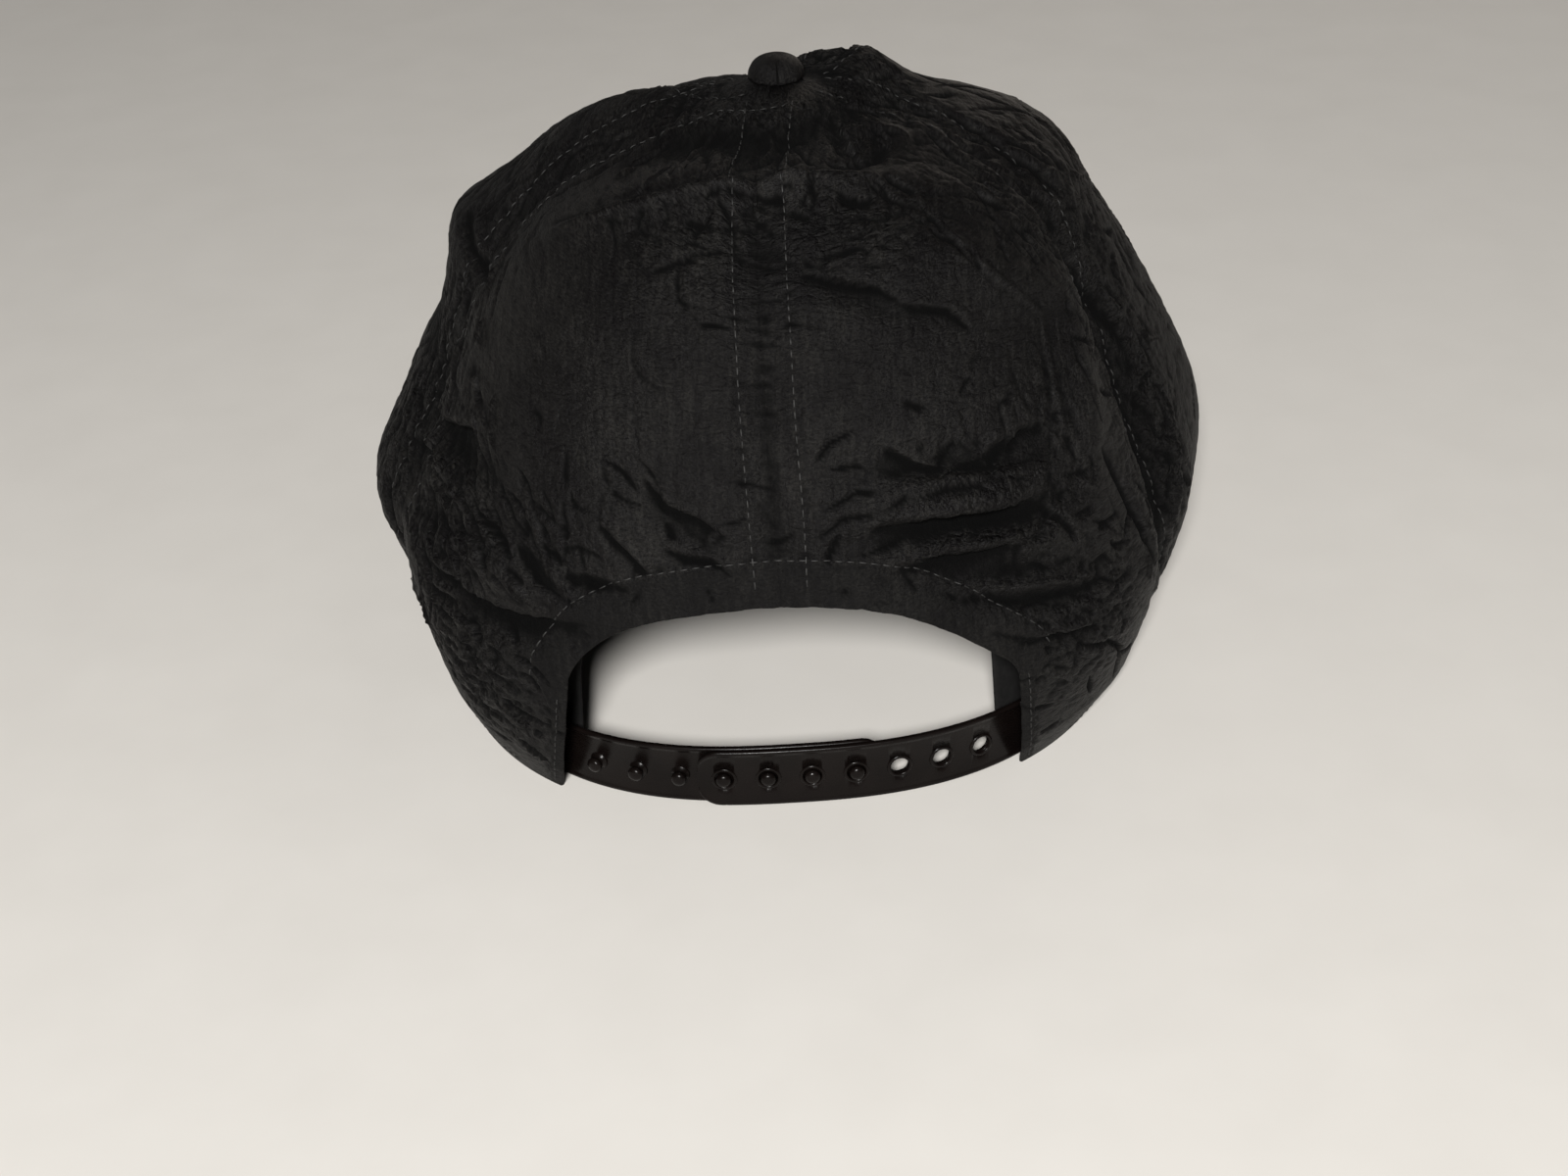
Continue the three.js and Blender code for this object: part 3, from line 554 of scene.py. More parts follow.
def random_creases():
    """Rows of (azimuth, up, turn, half length, half width, lift, bend), drawn from the areas."""
    random = np.random.default_rng(RANDOM_SEED)
    rows = []
    for area in named(AREA_KEYS, AREAS):
        for _ in range(int(area["wide"] * area["tall"] / area["size"] ** 2 * CREASES_PER_CELL)):
            east, north = random.normal(size=2)
            up = float(np.clip(area["up"] + north * area["tall"] / PANEL_LENGTH, 0.02, 0.97))
            azimuth = area["azimuth"] * DEG
            reach = float(section_reach(section_at(up), azimuth))
            azimuth += east * area["wide"] / max(reach, 15)
            turn = (area["turn"] + random.normal() * CREASE_STRAY) * DEG
            long = area["size"] * random.uniform(0.6, 1.7)
            lift = area["lift"] * random.uniform(0.2, 0.6) * (0.7 if random.random() < 0.3 else -1)
            lift *= FINE_STRENGTH if area["size"] <= FINE_SIZE else 1
            rows.append((azimuth, up, turn, long, random.uniform(0.8, 1.3), lift, random.normal() * 0.3))
    return rows


RANDOM_CREASES = random_creases()


def random_crease_lift(azimuth, up, reach):
    """The drawn creases, in mm. Each touches few of the points, so the others are left out early."""
    lift = np.zeros(azimuth.shape)
    flat_lift = lift.reshape(-1)
    flat_azimuth, flat_up, flat_reach = azimuth.reshape(-1), up.reshape(-1), reach.reshape(-1)
    for middle, crease_up, turn, long, broad, height, bend in RANDOM_CREASES:
        near = np.nonzero(np.abs(flat_up - crease_up) * PANEL_LENGTH < long + broad)[0]
        east = turn_to(middle, flat_azimuth[near]) * flat_reach[near]
        close = np.abs(east) < long + broad
        near, east = near[close], east[close]
        if not len(near):
            continue
        along, across = along_and_across(east, (flat_up[near] - crease_up) * PANEL_LENGTH, turn)
        along = along / long
        across = (across + bend * long * along**2) / broad
        taper = np.clip(1 - along**2, 0, 1) ** 0.8
        flat_lift[near] += height * np.clip(1 - np.abs(across) / np.maximum(taper, 0.2), 0, 1) * taper
    return lift


def step_profile(above, width):
    """A crest whose lower face drops inwards over the width, from 1 to -1, with soft tails."""
    tail = 2.0 * width
    face = 1 + 2 * above / width
    low = -np.exp(np.clip((above + width) / tail, -30, 0))
    return np.where(above > 0, np.exp(-np.clip(above / tail, 0, 30)), np.where(above > -width, face, low))


def nearest_on_line(points, knots):
    """For each point: its distance from a line through knots, how far above the line it is, and its share
    of the way along the line. Also the line's length."""
    walked = walked_along(knots)
    best = np.full(len(points), FAR)
    above = np.zeros(len(points))
    share = np.zeros(len(points))
    for start, end, before in zip(knots[:-1], knots[1:], walked[:-1]):
        length = np.linalg.norm(end - start)
        way = (end - start) / length
        along = np.clip((points - start) @ way, 0, length)
        off = points - start - along[:, None] * way
        distance = np.linalg.norm(off, axis=1)
        northward = np.array([-way[1], way[0]]) * (1 if way[0] > 0 else -1)
        nearer = distance < best
        best = np.where(nearer, distance, best)
        above = np.where(nearer, off @ northward, above)
        share = np.where(nearer, (before + along) / walked[-1], share)
    return best, above, share, walked[-1]


def crease_shape(crease, points, knots):
    """The height of a crease at points near it, as a share of its lift."""
    best, above, share, length = nearest_on_line(points, knots)
    taper = np.clip(4 * share * (1 - share), 0, 1) ** (0.9 if length > LONG_CREASE else 0.6)
    if crease["kind"] == "step":
        beyond = np.exp(-((np.clip(best - np.abs(above), 0, None) / crease["width"]) ** 2))
        return step_profile(above, crease["width"]) * beyond * taper
    sign = 1 if crease["kind"] == "ridge" else -1
    return sign * np.clip(1 - best / crease["width"], 0, 1) ** 1.2 * taper


def crease_lift(azimuth, up, reach):
    """The creases from the table, in mm."""
    total = np.zeros(azimuth.shape)
    for crease in named(CREASE_KEYS, CREASES):
        line = np.array(crease["line"], float)
        middle = dict(zip(("azimuth", "up"), line.mean(0)))
        line_azimuth = line[:, 0] * DEG
        line_reach = section_reach(section_at(line[:, 1]), line_azimuth)
        knots = np.stack(off_place(middle, line_azimuth, line[:, 1], line_reach), -1)
        east, north = off_place(middle, azimuth, up, reach)
        margin = 5 * crease["width"]
        low, high = knots.min(0) - margin, knots.max(0) + margin
        near = (east > low[0]) & (east < high[0]) & (north > low[1]) & (north < high[1])
        if near.any():
            shape = crease_shape(crease, np.stack([east[near], north[near]], -1), knots)
            total[near] += CREASE_STRENGTH * crease["lift"] * shape
    return total


# Where the cloth is crumpled all over. azimuth and up of the middle, half sizes in mm, and how strongly.
CRUMPLE_KEYS = ("azimuth", "up", "wide", "tall", "strength")
CRUMPLES = [
    (50, 0.36, 26, 24, 0.9),
    (74, 0.4, 26, 44, 1.0),
    (-26, 0.4, 26, 22, 0.7),
    (-62, 0.42, 22, 60, 0.9),
    (14, 0.79, 26, 16, 0.5),
    (-16, 0.79, 26, 16, 0.5),
    (30, 0.94, 50, 12, 0.9),
    (-30, 0.94, 50, 12, 0.9),
    (40, 0.2, 24, 30, 0.8),
    (-40, 0.2, 24, 30, 0.7),
    (110, 0.4, 50, 60, 0.3),
    (-110, 0.4, 50, 60, 0.3),
    (180, 0.5, 120, 60, 0.15),
]
LEAST_CRUMPLE = 0.16


def crumple_at(azimuth, up, reach):
    """How strongly the cloth is crumpled at a place, from 0 to about 1."""
    total = np.full(azimuth.shape, LEAST_CRUMPLE)
    for area in named(CRUMPLE_KEYS, CRUMPLES):
        place = off_place(area, azimuth, up, reach)
        total = np.maximum(total, area["strength"] * bump(*place, area["wide"], area["tall"]))
    return total


# Stitched rows on either side of a seam, in mm, and the gathered cloth between and beside them
SEAM_ROWS = (-6.1, 5.2)
PUCKER_LIFT, PUCKER_REACH, PUCKER_LENGTH = 0.3, 1.7, 2.4
RUNG_LIFT, RUNG_PITCH = 0.5, 3.6
ROW_DIP = 0.3


def seam_lift(azimuth, up, reach):
    """Puckers along the stitched rows beside each seam, and small rungs of gathered cloth between them."""
    lift = np.zeros(azimuth.shape)
    north = up * PANEL_LENGTH
    for k in range(len(PANELS)):
        seam = seam_azimuth(k, up)
        off = turn_to(seam, azimuth) * reach
        from_row = np.where(off > 0, off - SEAM_ROWS[1], off - SEAM_ROWS[0])
        beside = np.exp(-((from_row / PUCKER_REACH) ** 2))
        pucker = lattice_noise(north / PUCKER_LENGTH, np.sign(off) * 3 + k * 7.3, 51)
        between = smooth_step(0, 2.5, np.where(off > 0, -from_row, from_row))
        rung = np.abs(lattice_noise(north / RUNG_PITCH, off / 16 + k * 5.1, 77))
        rung = np.clip(1 - rung * 4, 0, 1) - 0.3
        high = smooth_step(0.5, 0.66, up)
        fade = smooth_step(0.06, 0.1, 1 - up)
        gathered = PUCKER_LIFT * pucker * beside + RUNG_LIFT * rung * between * high
        lift = lift + (gathered - ROW_DIP * beside) * fade
    return lift


def hem_share(up, from_hem):
    """Distance from the opening's edge as a share of the hem's width, which is narrow beside the strap."""
    width = SIDE_HEM_WIDTH + (HEM_WIDTH - SIDE_HEM_WIDTH) * smooth_step(0.17, 0.27, up)
    return from_hem / width


def dressing_lift(azimuth, up, reach, from_hem):
    """Everything that the dressed cloth adds to the folded crown, in mm. The hem is smoother and raised."""
    u = turn_to(0, azimuth) * np.maximum(reach, 25)
    v = up * PANEL_LENGTH
    crumple = crumple_at(azimuth, up, reach)
    broad = crease_noise((u * 0.94 + v * 0.34) / 15, (v * 0.94 - u * 0.34) / 8, 43) - 0.7
    fine = lattice_noise(u / 3.1, v / 2.3, 29)
    loose = 0.3 * broad + (0.04 + 0.14 * crumple) * fine + crinkle_lift(azimuth, up, reach)
    loose = loose + random_crease_lift(azimuth, up, reach) + crease_lift(azimuth, up, reach)
    loose = loose + seam_lift(azimuth, up, reach)
    hem = hem_share(up, from_hem)
    past_hem = 0.4 + 0.6 * smooth_step(0.85, 1.35, hem)
    on_hem = 1 - smooth_step(1.0, 1.13, hem)
    off_seam = turn_to(seam_azimuth(0, up), azimuth) * reach
    dip = SEAM_DIP * 0.9 * np.exp(-((off_seam / SEAM_REACH) ** 2))
    dip = dip * (1 - smooth_step(3, HEM_WIDTH + 6, from_hem))
    beside_row = np.exp(-(((hem - 1) / 0.22) ** 2))
    pucker = (0.3 + 0.4 * smooth_step(-5, -20, u)) * lattice_noise(u / 2.3, v / 2.3, 61) * beside_row
    waves = 0.22 * lattice_noise(u / 3.4, v / 5.0, 83) + 0.14 * lattice_noise(u / 1.5, v / 2.2, 89)
    return loose * past_hem + (HEM_RAISED + waves) * on_hem + dip + pucker


# The distance from the hem that stands for places without one
NO_HEM = 99.0


def dressing_hold(up):
    """How much of the dressing is kept: none at the rim and beside the button."""
    return smooth_step(0, 0.05, up) * smooth_step(0.03, 0.07, 1 - up)


def smooth_opening():
    """The opening's edge as a smooth curve through its table, as dense (x, up) rows from +X to -X."""
    table = np.array(OPENING, float)
    knots = table[1:-1].copy()
    walked = walked_along(knots * [1, PANEL_LENGTH])
    slopes = np.gradient(knots, walked, axis=0)
    at = np.linspace(0, walked[-1], 400)
    k = np.clip(np.searchsorted(walked, at, side="right") - 1, 0, len(walked) - 2)
    span = (walked[k + 1] - walked[k])[:, None]
    s = (at - walked[k])[:, None] / span
    arch = hermite(s, knots[k], knots[k + 1], slopes[k] * span, slopes[k + 1] * span)
    kernel = hann_kernel(33)
    edge = len(kernel) // 2
    for column in range(2):
        arch[edge:-edge, column] = np.convolve(arch[:, column], kernel, "valid")
    return np.vstack([table[:1], arch, table[-1:]])


OPENING_CURVE = smooth_opening()


def azimuth_at_x(x, up):
    """The azimuth at which a section of the crown passes a place across the back."""
    section = section_at(up)
    side = np.where(x >= 0, 1.0, -1.0)
    low = np.zeros(np.shape(x))
    high = np.full(np.shape(x), np.pi / 2)
    for _ in range(40):
        middle = (low + high) / 2
        short = section_reach(section, side * middle) * np.sin(middle) < np.abs(x)
        low = np.where(short, middle, low)
        high = np.where(short, high, middle)
    return side * low


def opening_up(x):
    arch = OPENING_CURVE[1:-1][::-1]
    return np.interp(x, arch[:, 0], arch[:, 1])


def opening_edge(count):
    """The opening's edge as evenly spaced azimuths and ups, from the wearer's left to the right."""
    walked = walked_along(OPENING_CURVE * [1, PANEL_LENGTH])
    at = np.linspace(0, walked[-1], count)
    x, up = (np.interp(at, walked, column) for column in OPENING_CURVE.T)
    return azimuth_at_x(x, up), up


def mesh_object(name, points, faces, uvs=None, values=None):
    """A smooth-shaded mesh in the crown's frame, riding on the cap. values: numbers at its points."""
    mesh = bpy.data.meshes.new(name)
    mesh.from_pydata(to_part(points).tolist(), [], [tuple(int(i) for i in f) for f in faces])
    mesh.polygons.foreach_set("use_smooth", [True] * len(mesh.polygons))
    if uvs is not None:
        layer = mesh.uv_layers.new(name="UVMap")
        loops = np.zeros(len(mesh.loops), int)
        mesh.loops.foreach_get("vertex_index", loops)
        layer.data.foreach_set("uv", np.asarray(uvs, float)[loops].ravel())
    for key, numbers in (values or {}).items():
        mesh.attributes.new(key, "FLOAT", "POINT").data.foreach_set("value", np.asarray(numbers, float))
    mesh.validate()
    made = bpy.data.objects.new(name, mesh)
    bpy.context.scene.collection.objects.link(made)
    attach(made, "root")
    return made


def grid_normals(grid):
    along_up = np.gradient(grid, axis=1)
    along_turn = np.gradient(grid, axis=0)
    return unit(np.cross(along_up, along_turn))


def shell_faces(columns, rows, keep):
    """Faces of a closed shell on a grid of outer and inner points, whose kept cells are cloth. Returns the
    faces over outer and inner points, and the open edges as (outer index, outer index, step inwards)."""
    stride = rows + 1
    inner = (columns + 1) * stride
    i, j = np.nonzero(keep)
    a, b = i * stride + j, i * stride + j + 1
    c, d = b + stride, a + stride
    faces = np.vstack([np.stack([a, b, c, d], 1), np.stack([d, c, b, a], 1) + inner])
    padded = np.pad(keep, 1)
    walls = []
    for (di, dj), (p, q), back in (
        ((-1, 0), (a, b), stride),
        ((0, 1), (b, c), -1),
        ((1, 0), (c, d), -stride),
        ((0, -1), (d, a), 1),
    ):
        open_edge = ~padded[i + 1 + di, j + 1 + dj]
        walls.append(np.stack([p[open_edge], q[open_edge], np.full(open_edge.sum(), back)], 1))
    return faces, np.vstack(walls)


# Rings of points around a shell's rounded edge, as shares of the way from its outer to its inner side
EDGE_RINGS = (0.2, 0.5, 0.8)


def rounded_shell(name, outer, inner, keep=None, round_out=0.45, uvs=None, values=None):
    """A shell object whose edges are rounded over instead of cut square."""
    columns, rows = outer.shape[0] - 1, outer.shape[1] - 1
    if keep is None:
        keep = np.ones((columns, rows), bool)
    faces, walls = shell_faces(columns, rows, keep)
    outer, inner = outer.reshape(-1, 3), inner.reshape(-1, 3)
    count = len(outer)
    edge_points = np.unique(walls[:, :2])
    outward = np.zeros((count, 3))
    for p, q, back in walls:
        for k in (p, q):
            outward[k] += outer[k] - outer[k + back]
    outward = unit(outward)[edge_points]
    points = [outer, inner]
    chain = [np.arange(count)]
    for number, share in enumerate(EDGE_RINGS):
        bulge = round_out * math.sin(math.pi * share)
        points.append(outer[edge_points] * (1 - share) + inner[edge_points] * share + outward * bulge)
        index = np.full(count, -1)
        index[edge_points] = 2 * count + number * len(edge_points) + np.arange(len(edge_points))
        chain.append(index)
    chain.append(np.arange(count) + count)
    quads = [faces]
    first, second = walls[:, 0], walls[:, 1]
    for upper, lower in zip(chain[:-1], chain[1:]):
        quads.append(np.stack([upper[second], upper[first], lower[first], lower[second]], 1))
    quads = np.vstack(quads)
    used = np.unique(quads)
    points = np.vstack(points)
    renumber = np.full(len(points), -1)
    renumber[used] = np.arange(len(used))

    def spread(flat):
        """Numbers of the grid's points given to every point of the shell that is used."""
        return np.concatenate([flat, flat] + [flat[edge_points]] * len(EDGE_RINGS))[used]

    uvs = None if uvs is None else spread(uvs.reshape(-1, 2))
    values = {key: spread(numbers.ravel()) for key, numbers in (values or {}).items()}
    return mesh_object(name, points[used], renumber[quads], uvs=uvs, values=values)


# Grid cells of a dressed panel: columns over the opening, columns past it, rows below and above its edge
OPEN_COLUMNS, PAST_COLUMNS = 80, 100
OPEN_ROWS, ABOVE_ROWS = 48, 180
SIDE_COLUMNS, SIDE_ROWS = 110, 190
PANEL_TOP_UP = 1 - PANEL_TOP_RADIUS / PANEL_LENGTH

EDGE_AZIMUTH, EDGE_UP = opening_edge(260)
EDGE_POINTS = crown_point(EDGE_AZIMUTH, EDGE_UP)


def distance_to_edge(points):
    """Distance from points to the rear opening's edge, in mm, worked out a few edge points at a time."""
    flat = points.reshape(-1, 3)
    nearest = np.full(len(flat), FAR)
    for part in np.split(EDGE_POINTS, len(EDGE_POINTS) // 20):
        nearest = np.minimum(nearest, ((flat[:, None] - part[None]) ** 2).sum(-1).min(1))
    return np.sqrt(nearest).reshape(points.shape[:-1])


def side_panel_grid(k):
    """Azimuth and up of the grid points of a front or side panel, and which of its cells are cloth."""
    share, rise = grid_of(np.linspace(0, 1, SIDE_COLUMNS + 1), np.linspace(0, 1, SIDE_ROWS + 1))
    up = PANEL_TOP_UP * rise
    low, high = seam_azimuth(k, up), seam_azimuth(k + 1, up)
    return low + (high - low) * share, up, np.ones((SIDE_COLUMNS, SIDE_ROWS), bool)


def back_panel_grid(side):
    """The same for the back panel on one side, 1 for +X, whose lower corner is the rear opening."""
    foot, end = (OPENING[0], OPENING[1]) if side > 0 else (OPENING[-1], OPENING[-2])
    columns, rows = OPEN_COLUMNS + PAST_COLUMNS, OPEN_ROWS + ABOVE_ROWS
    column, row = grid_of(np.arange(columns + 1.0), np.arange(rows + 1.0))
    share = np.minimum(column / OPEN_COLUMNS, 1)
    x = end[0] * (share + np.sin(share * np.pi / 2)) / 2
    edge = opening_up(x)
    below = end[1] * row / OPEN_ROWS
    above = edge + (PANEL_TOP_UP - edge) * (row - OPEN_ROWS) / ABOVE_ROWS
    up = np.where(row < OPEN_ROWS, below, above)
    x = x + (foot[0] - end[0]) * np.maximum(0, 1 - up / end[1])
    near = np.maximum(0, 1 - column / OPEN_COLUMNS)
    at_x = np.where(column == 0, 0, azimuth_at_x(x, np.minimum(up, edge)))
    over_opening = at_x + seam_azimuth(0, up) * near
    past = np.maximum(0, column - OPEN_COLUMNS) / PAST_COLUMNS
    seam = seam_azimuth(1, up) if side > 0 else seam_azimuth(len(PANELS) - 1, up) - 2 * np.pi
    azimuth = over_opening + (seam - over_opening) * past
    keep = np.ones((columns, rows), bool)
    keep[:OPEN_COLUMNS, :OPEN_ROWS] = False
    return (azimuth, up, keep) if side > 0 else (azimuth[::-1], up[::-1], keep[::-1])


def averaged(grid, cells):
    """Every value of a grid averaged over the cells around it."""
    for axis in (0, 1):
        pad = [(cells + 1, cells) if axis == each else (0, 0) for each in (0, 1)]
        total = np.cumsum(np.pad(grid, pad, "edge"), axis=axis)
        count = grid.shape[axis]
        ahead = np.take(total, np.arange(2 * cells + 1, 2 * cells + 1 + count), axis=axis)
        grid = (ahead - np.take(total, np.arange(count), axis=axis)) / (2 * cells + 1)
    return grid


# How hollows are found at three scales, for the shade that is painted into creases and between folds: cells
# averaged around a place, mm below that average at which a hollow starts, mm from there to a full one, and
# the most that it counts
HOLLOW_SCALES = [
    (3, 0.04, 0.36, 1),
    (13, 0.3, 2.1, 1),
    (30, 0.45, 3.4, 0.88),
]


def hollow_share(relief):
    """How deep in a crease or between folds each place lies, from 0 to 1: where shade is painted on the
    nylon.
    """
    open_share = np.ones(relief.shape)
    for cells, start, depth, most in HOLLOW_SCALES:
        open_share *= 1 - np.clip((averaged(relief, cells) - relief - start) / depth, 0, most)
    return 1 - open_share


# What a panel keeps from its seams, and the dressed cloth's thickness at the hem's edge and elsewhere
PANEL_INSET = 0.04
EDGE_THICK = 1.0
FULL_THICK = 1.35


def crown_panel(k):
    at_back = k in (0, len(PANELS) - 1)
    azimuth, up, keep = back_panel_grid(1 if k == 0 else -1) if at_back else side_panel_grid(k)
    inset = PANEL_INSET / np.maximum(section_reach(section_at(up), azimuth), 1)
    azimuth = azimuth.copy()
    azimuth[0] += inset[0]
    azimuth[-1] -= inset[-1]
    base = crown_point(azimuth, up)
    normal = grid_normals(base)
    reach = np.hypot(base[..., 0], base[..., 1])
    from_hem = distance_to_edge(base) if at_back else np.full(up.shape, NO_HEM)
    share = np.linspace(0, 1, azimuth.shape[0])
    at_seam = 0.75 + 0.25 * smooth_step(0, 1 / 12, np.minimum(share, 1 - share))
    hold = dressing_hold(up) * at_seam[:, None]
    near_hem = 1 - smooth_step(HEM_WIDTH, HEM_WIDTH + 8, from_hem)
    hold = np.maximum(hold, near_hem * smooth_step(0.1, 0.25, up))
    lift = dressing_lift(azimuth, up, reach, from_hem) * hold
    outer = base + normal * lift[..., None]
    relief = lift + ((base - smooth_crown(azimuth, up)) * normal).sum(-1)
    thick = EDGE_THICK + (FULL_THICK - EDGE_THICK) * smooth_step(1, 6, from_hem)
    inner_normal = normal.copy()
    inner_normal[:, 0, 2] = 0
    inner = outer - unit(inner_normal) * thick[..., None]
    rim_front = np.cos(azimuth[:, 0]) <= 0
    inner[:, 0, 2] = np.where(rim_front, seat_height(inner[:, 0, 0], inner[:, 0, 1]), inner[:, 0, 2])
    uvs = np.stack([turn_to(0, azimuth) * np.maximum(reach, 20), up * PANEL_LENGTH], -1) / 10
    crumple = crumple_at(azimuth, up, reach) * (0.6 + 0.4 * smooth_step(0.5, 1.4, hem_share(up, from_hem)))
    # Painted shade: the hollow value darkens the nylon in creases and between folds, and the hem band a
    # little
    on_hem = 0.3 * (1 - smooth_step(0.95, 1.1, hem_share(up, from_hem)))
    values = {"crumple": crumple, "hollow": np.maximum(hollow_share(relief), on_hem)}
    made = rounded_shell(PANELS[k] + "_cloth", outer, inner, keep, uvs=uvs, values=values)
    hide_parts(PANELS[k])
    return made


def rim_plan(azimuth, inset):
    """A point on the rim's outline in plan, moved inwards."""

    def at(turn):
        reach = section_reach(RIM, turn)
        return np.stack([reach * np.sin(turn), reach * np.cos(turn)], -1)

    along = unit(at(azimuth + 0.5 * DEG) - at(azimuth - 0.5 * DEG))
    inward = np.stack([along[..., 1], -along[..., 0]], -1)
    return at(azimuth) + inward * np.asarray(inset, float)[..., None]


def azimuth_along_rim(distance, inset):
    """The azimuth at each distance along the rim from the centre back, positive to +X."""
    azimuth = np.linspace(-1.6, 1.6, 3201)
    plan = rim_plan(azimuth, np.full(azimuth.shape, float(inset)))
    walked = walked_along(plan)
    walked -= np.interp(0, azimuth, walked)
    return np.interp(distance, walked, azimuth)


def strap_point(distance, height, depth, inset):
    """A point of the strap: distance along it from the centre back, height, and depth out of its face."""
    distance, height, depth = np.broadcast_arrays(*(np.asarray(v, float) for v in (distance, height, depth)))
    lean = STRAP_LEAN * (height / STRAP_WIDTH - 0.5)
    plan = rim_plan(azimuth_along_rim(distance, inset), inset - depth - lean)
    return np.concatenate([plan, height[..., None]], -1)


# Half of the strap's outline across its width: height as a share of the half width, and depth out of its
# middle plane. The long edge has a raised, rounded rim on the outside.
STRAP_EDGE = [
    (0.79, 0.4),
    (0.84, 0.5),
    (0.88, 0.72),
    (0.92, 0.78),
    (0.97, 0.72),
    (1.0, 0.45),
    (1.0, -0.35),
    (0.97, -0.62),
]
STRAP_PROFILE = [(-share, depth) for share, depth in STRAP_EDGE[::-1]]
STRAP_PROFILE += [(0.0, 0.4), *STRAP_EDGE, (0.0, -0.65)]


def tube_faces(count, around):
    """Faces over rings of points, one ring after the other, and over both ends."""
    faces = []
    for i in range(count - 1):
        for j in range(around):
            k = (j + 1) % around
            faces.append((i * around + j, i * around + k, (i + 1) * around + k, (i + 1) * around + j))
    faces.append(tuple(range(around))[::-1])
    faces.append(tuple((count - 1) * around + j for j in range(around)))
    return faces


def strap_mesh(sewn_end, free_end, inset):
    """Points and faces of a strap half from its sewn end to its rounded free end."""
    side = 1 if free_end > sewn_end else -1
    corner = STRAP_CORNER
    straight = np.linspace(sewn_end, free_end - side * corner, 90)
    turn = np.linspace(0, math.pi / 2, 12)[1:]
    distances = np.concatenate([straight, free_end - side * corner * (1 - np.sin(turn))])
    cuts = np.concatenate([np.zeros(len(straight)), corner * (1 - np.cos(turn))])
    low, high = GAP, STRAP_WIDTH
    middle, half = (low + high) / 2, (high - low) / 2
    profile = np.array(STRAP_PROFILE)
    share, depth = profile[:, 0], profile[:, 1]
    from_edge = (1 - np.abs(share)) * half
    rows = []
    for distance, cut in zip(distances, cuts):
        height = middle + np.sign(share) * np.maximum(half - cut - from_edge, 0)
        rows.append(strap_point(distance, height, depth, inset))
    faces = tube_faces(len(rows), len(profile))
    return np.vstack(rows), faces if side > 0 else [face[::-1] for face in faces]


def lathe(profile, segments, foot, axis):
    """Points and faces of a turned piece on foot along axis, from a profile of (radius, height) rows."""
    axis = unit(np.asarray(axis, float))
    side = unit(np.cross(axis, [0.0, 0.0, 1.0] if abs(axis[2]) < 0.9 else [1.0, 0.0, 0.0]))
    other = np.cross(axis, side)
    points = []
    for radius, height in profile:
        for k in range(segments):
            turn = 2 * math.pi * k / segments
            out = side * math.cos(turn) + other * math.sin(turn)
            points.append(foot + axis * height + out * max(radius, 0.01))
    return np.array(points), tube_faces(len(profile), segments)


def join_parts(parts):
    """One set of points and faces from several."""
    points, faces, start = [], [], 0
    for some_points, some_faces in parts:
        points.append(some_points)
        faces += [tuple(i + start for i in f) for f in some_faces]
        start += len(some_points)
    return np.vstack(points), faces


def snap_place(distance, inset):
    """Foot and outward direction of a snap at a distance along the strap."""
    middle = (GAP + STRAP_WIDTH) / 2
    foot = strap_point(distance, middle, 0, inset)
    return foot, unit(strap_point(distance, middle, 1, inset) - foot)


def peg_at(k):
    return (k - (SNAPS_CLOSED - 1) / 2) * SNAP_PITCH


PEG_STANDS_OUT = 1.3
PEG_SEGMENTS = 20
HOLE_SEGMENTS = 28


def peg_strap():
    parts = [strap_mesh(OPENING_EDGE + STRAP_TAB, peg_at(0) - STRAP_END_MARGIN, PEG_STRAP_INSET)]
    top = STRAP_THICK / 2 + GAP + STRAP_THICK + PEG_STANDS_OUT
    r = PEG_RADIUS
    profile = [
        (r * 0.8, 0),
        (r * 1.25, 0.4),
        (r * 1.15, 0.75),
        (r * 0.82, 0.95),
        (r * 0.8, top - 1.7),
        (r * 0.98, top - 1.35),
        (r, top - 0.95),
        (r * 0.9, top - 0.5),
        (r * 0.66, top - 0.17),
        (r * 0.34, top - 0.03),
        (0, top),
    ]
    for k in range(SNAP_COUNT):
        foot, out = snap_place(peg_at(k), PEG_STRAP_INSET)
        parts.append(lathe(profile, PEG_SEGMENTS, foot, out))
    made = mesh_object("strap_with_pegs", *join_parts(parts))
    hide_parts("snap_strap_pegs")
    return made


def cut_with(target, cutter):
    """Takes the cutter's shape out of the target, and removes the cutter."""
    modifier = target.modifiers.new("cut", "BOOLEAN")
    modifier.operation = "DIFFERENCE"
    modifier.solver = "EXACT"
    modifier.object = cutter
    graph = bpy.context.evaluated_depsgraph_get()
    target.data = bpy.data.meshes.new_from_object(target.evaluated_get(graph))
    target.modifiers.clear()
    bpy.data.objects.remove(cutter)


def hole_strap():
    strap = strap_mesh(-OPENING_EDGE - STRAP_TAB, -peg_at(0) + STRAP_END_MARGIN, HOLE_STRAP_INSET)
    made = mesh_object("strap_with_holes", *strap)
    r = HOLE_RADIUS
    drill = [(r, -3), (r, 3)]
    ring = [
        (r, 0.1),
        (r, 0.6),
        (r + 0.16, 0.78),
        (r + 0.45, 0.82),
        (r + 0.72, 0.68),
        (r + 0.85, 0.42),
        (r + 0.85, 0.1),
    ]
    drills, rings = [], []
    for k in range(SNAP_COUNT):
        foot, out = snap_place(-peg_at(k), HOLE_STRAP_INSET)
        drills.append(lathe(drill, HOLE_SEGMENTS, foot, out))
        points, faces = lathe(ring, HOLE_SEGMENTS, foot, out)
        rings.append((points, faces[:-2]))
    cutter = mesh_object("drills", *join_parts(drills))
    cut_with(made, cutter)
    trim = mesh_object("strap_hole_rings", *join_parts(rings))
    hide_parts("snap_strap_holes")
    return made, trim


